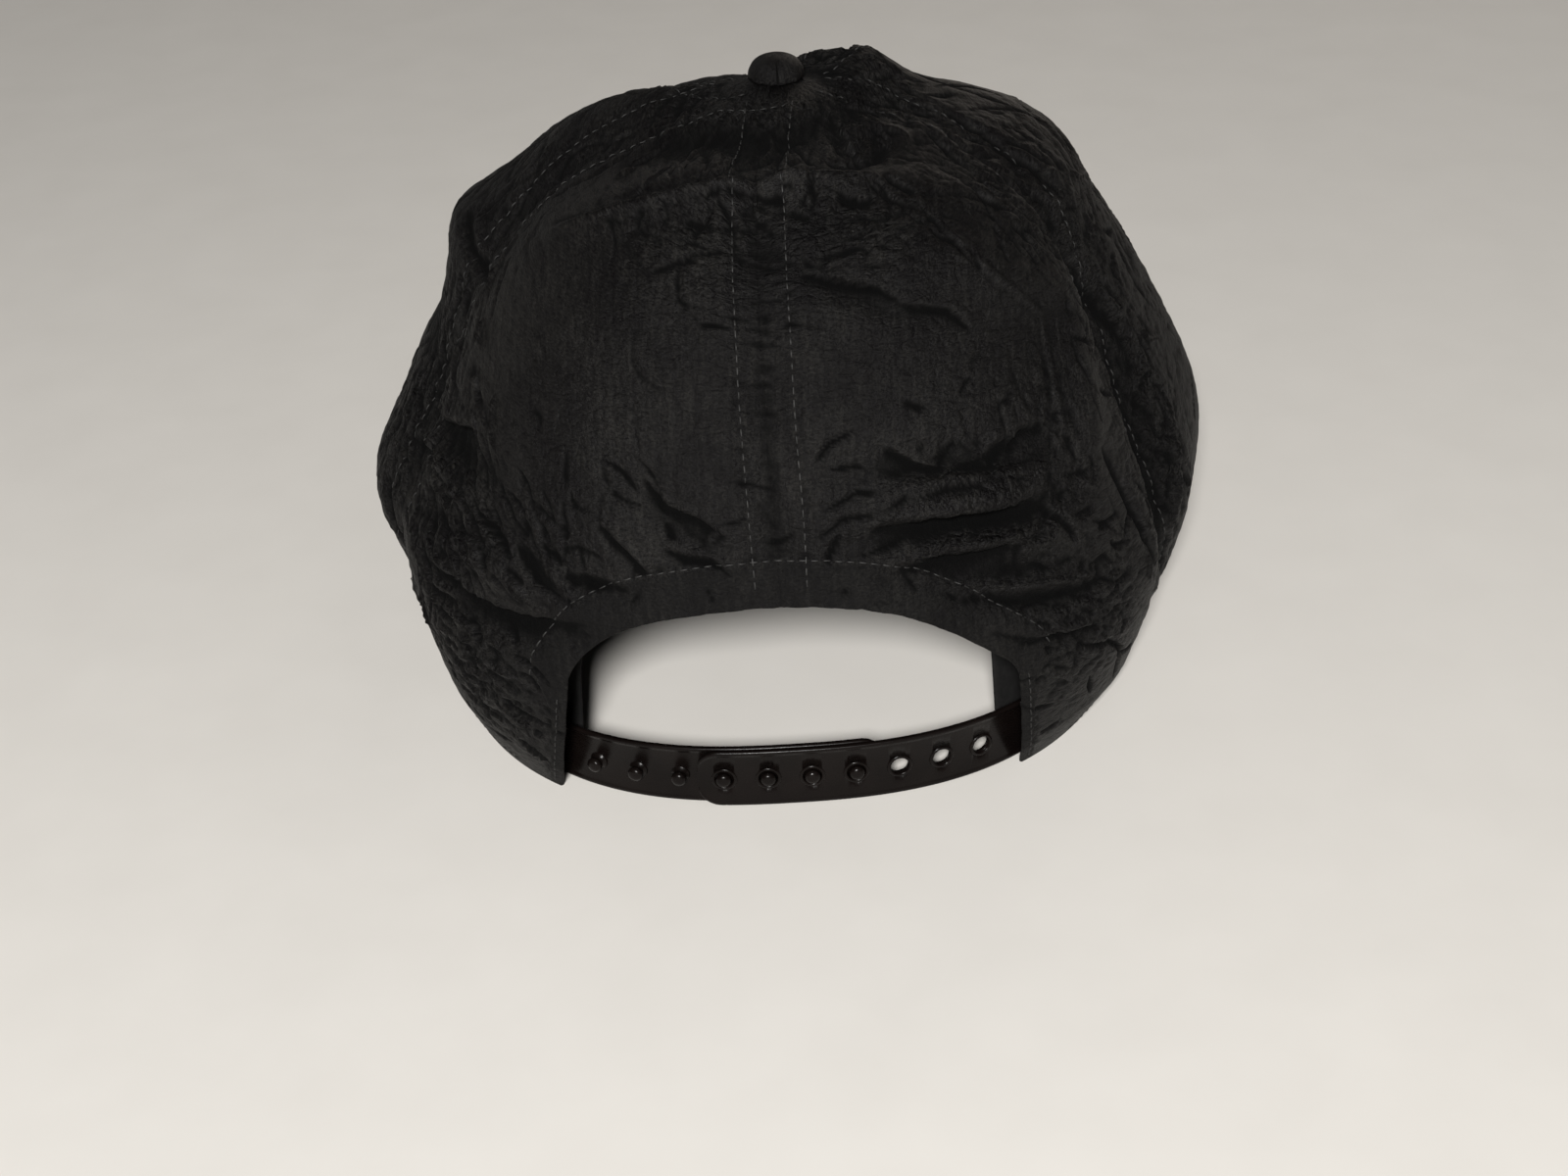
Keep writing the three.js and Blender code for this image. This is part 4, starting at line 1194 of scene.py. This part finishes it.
def brim_reach(from_front):
    azimuth = np.pi + from_front
    rim = section_reach(RIM, azimuth)
    edge = reach_of(BRIM_HALF_WIDTH, BRIM_FRONT, BRIM_SQUARE, azimuth)
    taper = np.sqrt(np.clip((BRIM_END - np.abs(from_front)) / BRIM_TAPER, 0, 1))
    return np.maximum((edge - rim) * taper, 0) + 0.4


def brim_plan(from_front, out):
    """A point of the brim in plan: out is 0 under the crown's wall and 1 on the brim's edge."""
    azimuth = np.pi + from_front
    inside = rim_plan(azimuth, np.full(np.shape(azimuth), CLOTH))
    reach = section_reach(RIM, azimuth) + brim_reach(from_front)
    edge = np.stack([reach * np.sin(azimuth), reach * np.cos(azimuth)], -1)
    return inside + (edge - inside) * np.asarray(out, float)[..., None]


def brim_surface(from_front, out, height):
    plan = brim_plan(from_front, out)
    x = np.clip(plan[..., 0], -BRIM_HALF_WIDTH, BRIM_HALF_WIDTH)
    z = brim_under_height(x, plan[..., 1]) + height
    return np.concatenate([plan, z[..., None]], -1)


def brim_layer(name, node, low, high):
    turn = np.linspace(-BRIM_END, BRIM_END, 221)
    out = 1 - np.linspace(0, 1, 49) ** 1.3
    from_front, share = grid_of(turn, out)
    upper = brim_surface(from_front, share, high)
    lower = brim_surface(from_front, share, low)
    uvs = upper[..., :2] / 10
    made = rounded_shell(name, upper, lower, round_out=0.4 * (high - low), uvs=uvs)
    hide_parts(node)
    return made


def sweatband():
    """A band inside the rim that steps inwards behind the strap's ends and waves along its free edge."""
    start = float(azimuth_along_rim(OPENING_EDGE + 1, 0))
    azimuth, share = grid_of(np.linspace(start, 2 * np.pi - start, 401), np.linspace(0, 1, 15))
    from_back = np.abs(turn_to(0, azimuth))
    tab_end = float(azimuth_along_rim(OPENING_EDGE + STRAP_TAB + 3, PEG_STRAP_INSET))
    behind = PEG_STRAP_INSET + (STRAP_THICK + STRAP_LEAN) / 2 + 2 * GAP
    clear = 1 - smooth_step(tab_end, tab_end + 8 * DEG, from_back)
    wave = 0.35 * lattice_noise(azimuth * 14, share * 1.5, 41) * share
    inset = CLOTH + GAP + (behind - CLOTH - GAP) * clear + BAND_LEAN * share
    foot = np.maximum(rim_height(azimuth) - BRIM_THICK, 0) + GAP
    height = (foot + BAND_HEIGHT * share)[..., None]
    outer = np.concatenate([rim_plan(azimuth, inset), height], -1)
    roll = 0.5 * np.exp(-(((share - 0.93) / 0.05) ** 2))
    inner = np.concatenate([rim_plan(azimuth, inset + BAND_THICK + roll + wave), height], -1)
    uvs = np.stack([azimuth * 9, share * BAND_HEIGHT / 10], -1)
    made = rounded_shell("sweatband_cloth", outer, inner, round_out=0.4, uvs=uvs)
    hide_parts("sweatband")
    return made


def top_button():
    """A dome of cloth gathered over a disc, with shallow tucks around its skirt."""
    centre = crown_point(0.0, 1.0)
    around, rings = 72, 22
    turn, rise = grid_of(np.linspace(0, 2 * np.pi, around, endpoint=False), np.linspace(0, 1, rings))
    lift = rise * np.pi / 2
    tuck = 1 - 0.035 * (1 - rise) ** 2 * (0.5 + 0.5 * np.cos(turn * 11 + np.sin(turn * 3)))
    dent = 0.12 * lattice_noise(np.cos(turn) * 2 * np.cos(lift), np.sin(turn) * 2 * np.cos(lift), 7)
    radius = BUTTON_RADIUS * np.cos(lift) ** 0.85 * tuck
    height = GAP - 0.2 + 0.6 * (1 - (1 - rise) ** 6) + (BUTTON_HEIGHT - 0.6) * np.sin(lift) + dent * rise
    points = np.stack([radius * np.sin(turn), radius * np.cos(turn), height], -1) + centre
    flat = points.reshape(-1, 3)
    faces = []
    for i in range(around):
        k = (i + 1) % around
        for j in range(rings - 1):
            faces.append((i * rings + j, i * rings + j + 1, k * rings + j + 1, k * rings + j))
    faces.append(tuple(i * rings for i in range(around)))
    uvs = np.stack([turn.ravel() * BUTTON_RADIUS, rise.ravel() * 9], -1) / 10
    made = mesh_object("button_cover", flat, faces, uvs=uvs)
    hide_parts("top_button")
    return made


# A stitch: its length, the distance to the next, its width, and how flat its section is. Along it: shares
# of the length, shares of the width, and mm out of the cloth.
STITCH_LENGTH = 1.9
STITCH_PITCH = 2.6
STITCH_WIDTH = 0.36
STITCH_FLATNESS = 0.7
STITCH_SHARES = np.array([-0.5, -0.34, 0, 0.34, 0.5])
STITCH_WIDTHS = np.array([[0.4], [0.92], [1.0], [0.92], [0.4]]) * STITCH_WIDTH / 2
STITCH_RAISED = np.array([[-0.14], [0.04], [0.12], [0.04], [-0.14]])
STITCH_SIDES = 5
BRIM_STITCH_LENGTH = 2.3
BRIM_STITCH_PITCH = 3.0


def stitch_parts(points, normals, pitch=STITCH_PITCH, length=STITCH_LENGTH):
    """Small rounded stitches along a line of points on the cloth."""
    walked = walked_along(points)
    faces = tube_faces(len(STITCH_SHARES), STITCH_SIDES)
    parts = []
    for k in range(int(walked[-1] / pitch)):
        at = (k + 0.5) * pitch + STITCH_SHARES * length
        line = np.stack([np.interp(at, walked, column) for column in points.T], -1)
        normal = unit(np.stack([np.interp(at, walked, column) for column in normals.T], -1))
        side = np.cross(normal, unit(np.gradient(line, axis=0)))
        rings = []
        for step in range(STITCH_SIDES):
            turn = 2 * math.pi * step / STITCH_SIDES
            out = side * math.cos(turn) + normal * math.sin(turn) * STITCH_FLATNESS
            rings.append(line + normal * STITCH_RAISED + out * STITCH_WIDTHS)
        parts.append((np.stack(rings, 1).reshape(-1, 3), faces))
    return parts


# How far round from the back the hem is looked for
HEM_REACH = 75 * DEG


def dressed_crown(azimuth, up):
    """The crown's outer surface with all its creases, for things that lie on it."""
    base = crown_point(azimuth, up)
    normal = normal_of(crown_point, azimuth, up)
    reach = np.hypot(base[..., 0], base[..., 1])
    at_back = np.abs(turn_to(0, azimuth)) < HEM_REACH
    from_hem = np.where(at_back, distance_to_edge(base), NO_HEM)
    lift = dressing_lift(azimuth, up, reach, from_hem) * dressing_hold(up)
    return base + normal * lift[..., None], normal


def seam_row(k, offset, low_up, high_up):
    """A row of stitches beside seam k, offset mm to one side."""
    up = np.linspace(low_up, high_up, 500)
    seam = seam_azimuth(k, up)
    reach = np.linalg.norm(smooth_crown(seam, up)[..., :2], axis=-1)
    return stitch_parts(*dressed_crown(seam + offset / np.maximum(reach, 4), up))


# The hem's rows of stitches: the upper one follows the arch above this height, and the lower ones lie
# beside the strap between two heights, nearer to the edge
ARCH_ROW_FROM = 0.225
SIDE_ROW_DEPTH = 1.8
SIDE_ROW_BETWEEN = (0.012, 0.215)

# Mm of cloth to a whole up beside the opening, and the points over which its edge's direction is smoothed
HEM_CLIMB = PANEL_LENGTH * 0.84
HEM_SMOOTHING = 31


def hem_line(depth):
    """Azimuth and up of a line beside the rear opening, depth mm from its edge."""
    reach = np.hypot(EDGE_POINTS[:, 0], EDGE_POINTS[:, 1])
    line = np.stack([EDGE_AZIMUTH * reach, EDGE_UP * HEM_CLIMB], -1)
    along = unit(np.gradient(line, axis=0))
    kernel = hann_kernel(HEM_SMOOTHING)
    pad = len(kernel) // 2
    along = np.stack([np.convolve(np.pad(column, pad, "edge"), kernel, "valid") for column in along.T], -1)
    away = unit(np.stack([along[:, 1], -along[:, 0]], -1)) * depth
    return (line[:, 0] + away[:, 0]) / reach, (line[:, 1] + away[:, 1]) / HEM_CLIMB


def hem_stitch_parts():
    azimuth, up = hem_line(HEM_WIDTH)
    over = up > ARCH_ROW_FROM
    parts = stitch_parts(*dressed_crown(azimuth[over], up[over]))
    azimuth, up = hem_line(SIDE_ROW_DEPTH)
    beside = (up > SIDE_ROW_BETWEEN[0]) & (up < SIDE_ROW_BETWEEN[1])
    for side in (azimuth >= 0, azimuth < 0):
        parts += stitch_parts(*dressed_crown(azimuth[beside & side], up[beside & side]))
    return parts


def rim_row(height, start, end):
    """A row of stitches along the crown's rim, height mm above it."""
    azimuth = np.linspace(start, end, 900)
    return stitch_parts(*dressed_crown(azimuth, np.full(azimuth.shape, height / PANEL_LENGTH)))


# How far the brim's rows stay from its ends
BRIM_ROW_MARGIN = 14 * DEG


def brim_row(inset, height, down):
    """A row of stitches around the brim, inset mm from its edge, on its top or its underside."""
    turn = np.linspace(-BRIM_END + BRIM_ROW_MARGIN, BRIM_END - BRIM_ROW_MARGIN, 700)
    reach = brim_reach(turn)
    out = np.clip(1 - inset / np.maximum(reach, 1), 0.02, 1)
    keep = reach > inset + 2
    line = brim_surface(turn, out, height)[keep]
    normal = np.zeros(line.shape)
    normal[:, 0] = 2 * BRIM_ARCH * line[:, 0] / BRIM_HALF_WIDTH**2
    normal[:, 2] = 1
    normal = unit(normal) * (-1 if down else 1)
    return stitch_parts(line, normal, BRIM_STITCH_PITCH, BRIM_STITCH_LENGTH)


def stitches(name, parts, thread):
    made = mesh_object(name, *join_parts(parts))
    made.data.materials.append(thread)


class Nodes:
    """A material's node tree, with short calls for adding and linking nodes."""

    def __init__(self, name):
        self.material = bpy.data.materials.new(name)
        self.material.use_nodes = True
        self.tree = self.material.node_tree
        self.shader = next(n for n in self.tree.nodes if n.type == "BSDF_PRINCIPLED")

    def add(self, kind, settings=None, **inputs):
        node = self.tree.nodes.new(kind)
        for key, value in (settings or {}).items():
            setattr(node, key, value)
        for key, value in inputs.items():
            self.feed(node, key.replace("_", " "), value)
        return node

    def feed(self, node, name, value):
        if isinstance(value, bpy.types.NodeSocket):
            self.tree.links.new(value, node.inputs[name])
        else:
            node.inputs[name].default_value = value

    def math(self, operation, a, b):
        node = self.tree.nodes.new("ShaderNodeMath")
        node.operation = operation
        for index, value in enumerate((a, b)):
            self.feed(node, index, value)
        return node.outputs[0]

    def times(self, a, b):
        return self.math("MULTIPLY", a, b)

    def plus(self, a, b, *more):
        total = self.math("ADD", a, b)
        for value in more:
            total = self.math("ADD", total, value)
        return total

    def place(self, kind, scale=(1, 1, 1)):
        """Texture coordinates of a kind, stretched."""
        from_mesh = self.add("ShaderNodeTexCoord").outputs[kind]
        return self.add("ShaderNodeMapping", Vector=from_mesh, Scale=scale).outputs["Vector"]

    def noise(self, place, scale=1.0, **settings):
        return self.add("ShaderNodeTexNoise", Vector=place, Scale=scale, **settings).outputs["Fac"]

    def waves(self, direction, scale, distortion):
        """Even waves across one direction of the cloth."""
        place = self.place("UV", (scale, scale, 1))
        settings = {"bands_direction": direction}
        wave = self.add("ShaderNodeTexWave", settings, Vector=place, Distortion=distortion, Scale=1.0)
        return wave.outputs["Fac"]

    def relief(self, height, strength, distance):
        bumps = self.add("ShaderNodeBump", Height=height, Strength=strength, Distance=distance)
        self.feed(self.shader, "Normal", bumps.outputs["Normal"])

    def colour_ramp(self, fac, stops):
        node = self.tree.nodes.new("ShaderNodeValToRGB")
        ramp = node.color_ramp
        while len(ramp.elements) < len(stops):
            ramp.elements.new(0.5)
        for element, (place, colour) in zip(ramp.elements, stops):
            element.position = place
            element.color = (*colour, 1)
        self.tree.links.new(fac, node.inputs["Fac"])
        return node.outputs["Color"]

    def finish(self, colour, roughness, specular=None):
        """Feeds the shader's colour, roughness and, if given, its specular level."""
        self.feed(self.shader, "Base Color", colour)
        self.feed(self.shader, "Roughness", roughness)
        if specular is not None:
            self.shader.inputs["Specular IOR Level"].default_value = specular
        return self.material


def sharp_creases(nodes, scale):
    """Height of a cloth with narrow creases between irregular facets: 0 in a crease, 1 on a facet."""
    place = nodes.place("UV", scale)
    bend = nodes.add("ShaderNodeTexNoise", Vector=place, Scale=0.9, Detail=3.0).outputs["Color"]
    bent = nodes.add("ShaderNodeVectorMath", {"operation": "ADD"})
    nodes.feed(bent, 0, bend)
    nodes.feed(bent, 1, place)
    cells = {"feature": "DISTANCE_TO_EDGE"}
    facets = nodes.add("ShaderNodeTexVoronoi", cells, Vector=bent.outputs["Vector"], Scale=1.0)
    return nodes.math("POWER", nodes.math("MINIMUM", nodes.times(facets.outputs["Distance"], 3.4), 1.0), 0.6)


# Colours of the nylon, a random tone from its dark specks to its rare brightest spots, which are painted
# glints, and how much painted shade a hollow takes from the colour, and what it adds to the roughness
NYLON_COLOURS = [
    (0.38, (0.0009, 0.0005, 0.0008)),
    (0.5, (0.0037, 0.0034, 0.0034)),
    (0.63, (0.0145, 0.0137, 0.0126)),
]
HOLLOW_SHADE = 0.94
HOLLOW_ROUGHNESS = 0.62


def nylon_material(name, crinkle=1.0):
    """Thin black nylon with a broad satin glow on what faces the light, a fine weave, faint streaks, and
    small crinkles that are stronger where the cloth is crumpled. Shade is painted into its colour in the
    hollows and on the hem band, and its rare brightest spots are painted glints. UVs are in cm."""
    nodes = Nodes(name)
    weave = nodes.times(nodes.waves("X", 11, 1.5), nodes.waves("Y", 11, 1.5))
    streaks = nodes.noise(nodes.place("UV", (7, 1.1, 1)), Detail=5.0, Roughness=0.65)
    crinkles = nodes.noise(nodes.place("UV", (3.0, 4.4, 1)), Detail=7.0, Roughness=0.62, Distortion=0.9)
    specks = nodes.noise(nodes.place("UV", (13, 15, 1)), Detail=3.0, Roughness=0.75)
    patches = nodes.noise(nodes.place("UV", (0.5, 0.35, 1)), Detail=3.0)
    crumple = nodes.add("ShaderNodeAttribute", {"attribute_name": "crumple"}).outputs["Fac"]
    amount = nodes.plus(nodes.times(crumple, 1.4), 0.2)
    creases = nodes.plus(
        sharp_creases(nodes, (2.3, 3.3, 1)),
        nodes.times(sharp_creases(nodes, (5.2, 7.0, 1)), 0.45),
    )
    crumpled = nodes.plus(nodes.times(crinkles, 0.7), nodes.times(creases, 0.42))
    height = nodes.plus(
        nodes.times(nodes.times(crumpled, amount), crinkle),
        nodes.times(streaks, 0.2),
        nodes.times(specks, 0.3),
        nodes.times(weave, 0.05),
    )
    nodes.relief(height, 1.0, 0.0012)
    # A random tone, whose rare bright end stands for painted glints
    tone = nodes.plus(nodes.times(streaks, 0.3), nodes.times(patches, 0.25), nodes.times(specks, 0.45))
    colour = nodes.colour_ramp(tone, NYLON_COLOURS)
    # Painted shade: the colour is darkened where the hollow value is high, and the roughness raised
    hollow = nodes.add("ShaderNodeAttribute", {"attribute_name": "hollow"}).outputs["Fac"]
    kept = nodes.math("SUBTRACT", 1.0, nodes.times(hollow, HOLLOW_SHADE))
    shaded = nodes.add("ShaderNodeVectorMath", {"operation": "SCALE"}, Vector=colour, Scale=kept)
    roughness = nodes.plus(nodes.times(specks, 0.3), 0.34, nodes.times(hollow, HOLLOW_ROUGHNESS))
    return nodes.finish(shaded.outputs["Vector"], roughness, 0.12)


def cloth_material(name, dark, light, scale):
    """A plain matt woven cloth for the brim and sweatband. UVs are in cm."""
    nodes = Nodes(name)
    weave = nodes.plus(nodes.waves("X", scale, 0.8), nodes.waves("Y", scale, 0.8))
    fuzz = nodes.noise(nodes.place("UV", (6, 6, 1)), Detail=8.0, Roughness=0.7)
    nodes.relief(nodes.plus(nodes.times(weave, 0.3), fuzz), 0.6, 0.0004)
    return nodes.finish(nodes.colour_ramp(fuzz, [(0.3, dark), (0.7, light)]), 0.85, 0.2)


def plastic_material(name):
    """Moulded dark plastic: glossy, with faint flow marks and fine handling scratches."""
    nodes = Nodes(name)
    flow = nodes.noise(nodes.place("Object"), 90.0, Detail=3.0)
    wear = nodes.noise(nodes.place("Object", (1, 1, 9)), 700.0, Detail=5.0)
    nodes.relief(nodes.plus(flow, nodes.times(wear, 0.15)), 0.25, 0.0003)
    colour = nodes.colour_ramp(flow, [(0.3, (0.0026, 0.0018, 0.0016)), (0.7, (0.0048, 0.0034, 0.003))])
    return nodes.finish(colour, nodes.plus(nodes.times(wear, 0.2), 0.16), 0.12)


def thread_material(name, brightness=1.0):
    """Twisted thread, worn lighter in places."""
    nodes = Nodes(name)
    twist = nodes.noise(nodes.place("Object"), 2600.0, Detail=3.0)
    worn = nodes.noise(nodes.place("Object"), 260.0, Detail=2.0)
    tone = nodes.plus(nodes.times(twist, 0.3), nodes.times(worn, 0.7))
    light = [part * brightness for part in (0.022, 0.0215, 0.0205)]
    return nodes.finish(nodes.colour_ramp(tone, [(0.42, (0.003, 0.003, 0.0028)), (0.64, light)]), 0.6)


def look_at(obj, target):
    obj.rotation_euler = (Vector(target) - obj.location).to_track_quat("-Z", "Y").to_euler()


def area_light(name, place, size, power, colour):
    data = bpy.data.lights.new(name, "AREA")
    data.shape = "DISK"
    data.size = size
    data.energy = power
    data.color = colour
    lamp = bpy.data.objects.new(name, data)
    bpy.context.scene.collection.objects.link(lamp)
    lamp.location = place
    look_at(lamp, LIT_PLACE)


# What the lights aim at, in metres, and the lights: name, place, size in metres, watts and colour
LIT_PLACE = (0, 0.05, 0.06)
LIGHTS = [
    ("key", (0.1, 1.3, 0.88), 0.24, 36, (1.0, 0.985, 0.965)),
    ("fill", (-0.9, 0.4, 1.3), 1.4, 1.3, (1.0, 0.98, 0.96)),
    ("behind", (-0.5, -1.3, 0.4), 0.9, 2.4, (1.0, 0.9, 0.8)),
    ("far_side", (0.95, -1.2, 0.6), 1.2, 1.3, (1.0, 0.98, 0.95)),
]
WORLD_COLOUR = (1.0, 0.97, 0.93, 1)
WORLD_STRENGTH = 0.045
FLOOR_SIZE = 6
FLOOR_COLOURS = [(0.3, (0.64, 0.62, 0.585)), (0.7, (0.66, 0.64, 0.605))]


def studio():
    """A plain pale floor, a small light behind the camera, and weak wide ones around the cap."""
    bpy.ops.mesh.primitive_plane_add(size=FLOOR_SIZE, location=(0, 0, 0))
    floor = bpy.context.object
    floor.name = "floor"
    nodes = Nodes("floor_paint")
    grain = nodes.noise(nodes.place("Object"), 40.0, Detail=4.0)
    floor.data.materials.append(nodes.finish(nodes.colour_ramp(grain, FLOOR_COLOURS), 0.85))
    world = bpy.data.worlds.new("studio")
    world.use_nodes = True
    background = world.node_tree.nodes["Background"]
    background.inputs["Color"].default_value = WORLD_COLOUR
    background.inputs["Strength"].default_value = WORLD_STRENGTH
    bpy.context.scene.world = world
    for light in LIGHTS:
        area_light(*light)


# The camera, fitted to the photograph: mm in the crown's frame
CAMERA_TARGET = (-1, 66, 40)
CAMERA_DISTANCE = 558
CAMERA_ELEVATION = 33 * DEG
CAMERA_ROLL = -3.3 * DEG
FOCAL_PIXELS = 2475
IMAGE_WIDTH = 1600
SENSOR_WIDTH = 36


def camera():
    data = bpy.data.cameras.new("camera")
    data.sensor_fit = "HORIZONTAL"
    data.sensor_width = SENSOR_WIDTH
    data.lens = FOCAL_PIXELS / IMAGE_WIDTH * SENSOR_WIDTH
    data.clip_start = 0.01
    made = bpy.data.objects.new("camera", data)
    bpy.context.scene.collection.objects.link(made)
    back = Vector((0, math.cos(CAMERA_ELEVATION), math.sin(CAMERA_ELEVATION)))
    level_right = (-back).cross(Vector((0, 0, 1))).normalized()
    level_up = level_right.cross(-back)
    right = level_right * math.cos(CAMERA_ROLL) + level_up * math.sin(CAMERA_ROLL)
    up = level_up * math.cos(CAMERA_ROLL) - level_right * math.sin(CAMERA_ROLL)
    turn = Matrix((right, up, back)).transposed()
    place = Vector(to_part(CAMERA_TARGET)) + back * CAMERA_DISTANCE / 1000
    made.matrix_world = Matrix.Translation(place) @ turn.to_4x4()
    bpy.context.scene.camera = made


def dress_in_cloth():
    nylon = nylon_material("crinkled_nylon")
    brim_cloth = cloth_material("brim_cloth", (0.006, 0.0057, 0.0058), (0.014, 0.0136, 0.0134), 11)
    band_cloth = cloth_material("band_cloth", (0.004, 0.0038, 0.0038), (0.009, 0.0088, 0.0086), 9)
    for k in range(len(PANELS)):
        crown_panel(k).data.materials.append(nylon)
    top_button().data.materials.append(nylon_material("button_nylon", 0.5))
    upper = brim_layer("brim_top_cloth", "brim_top", BRIM_UNDER_THICK + GAP, BRIM_THICK)
    lower = brim_layer("brim_under_cloth", "brim_under", 0, BRIM_UNDER_THICK)
    for layer in (upper, lower):
        layer.data.materials.append(brim_cloth)
    sweatband().data.materials.append(band_cloth)


def close_with_strap():
    plastic = plastic_material("strap_plastic")
    for piece in (peg_strap(), *hole_strap()):
        piece.data.materials.append(plastic)


# Stitches: where the seams' rows start and end, the rim's row, and the brim's rows in mm from its edge
BACK_SEAM_ROWS_FROM = 0.375
SEAM_ROWS_FROM = 0.02
SEAM_ROWS_TO = 0.965
RIM_ROW_HEIGHT = 3.2
RIM_ROW_START = 40 * DEG
BRIM_ROW_INSETS = [5 + 8 * number for number in range(6)]


def sew():
    thread = thread_material("thread")
    # A darker copy of the thread: painted shade for the rows on the crown's sides and along the rim
    shaded_thread = thread_material("shaded_thread", 0.45)
    for k in range(len(PANELS)):
        low_up = SEAM_ROWS_FROM if k else BACK_SEAM_ROWS_FROM
        rows = [part for offset in SEAM_ROWS for part in seam_row(k, offset, low_up, SEAM_ROWS_TO)]
        stitches("seam_stitches_" + str(k), rows, shaded_thread if k else thread)
    stitches("opening_hem_stitches", hem_stitch_parts(), thread_material("hem_thread", 0.65))
    rim_stitches = rim_row(RIM_ROW_HEIGHT, RIM_ROW_START, 2 * math.pi - RIM_ROW_START)
    stitches("rim_stitches", rim_stitches, shaded_thread)
    for name, height, down in (("brim_top_stitches", BRIM_THICK, False), ("brim_under_stitches", 0, True)):
        rows = [part for inset in BRIM_ROW_INSETS for part in brim_row(inset, height, down)]
        stitches(name, rows, thread)


dress_in_cloth()
close_with_strap()
sew()
studio()
camera()
bpy.context.scene.view_settings.view_transform = "Standard"
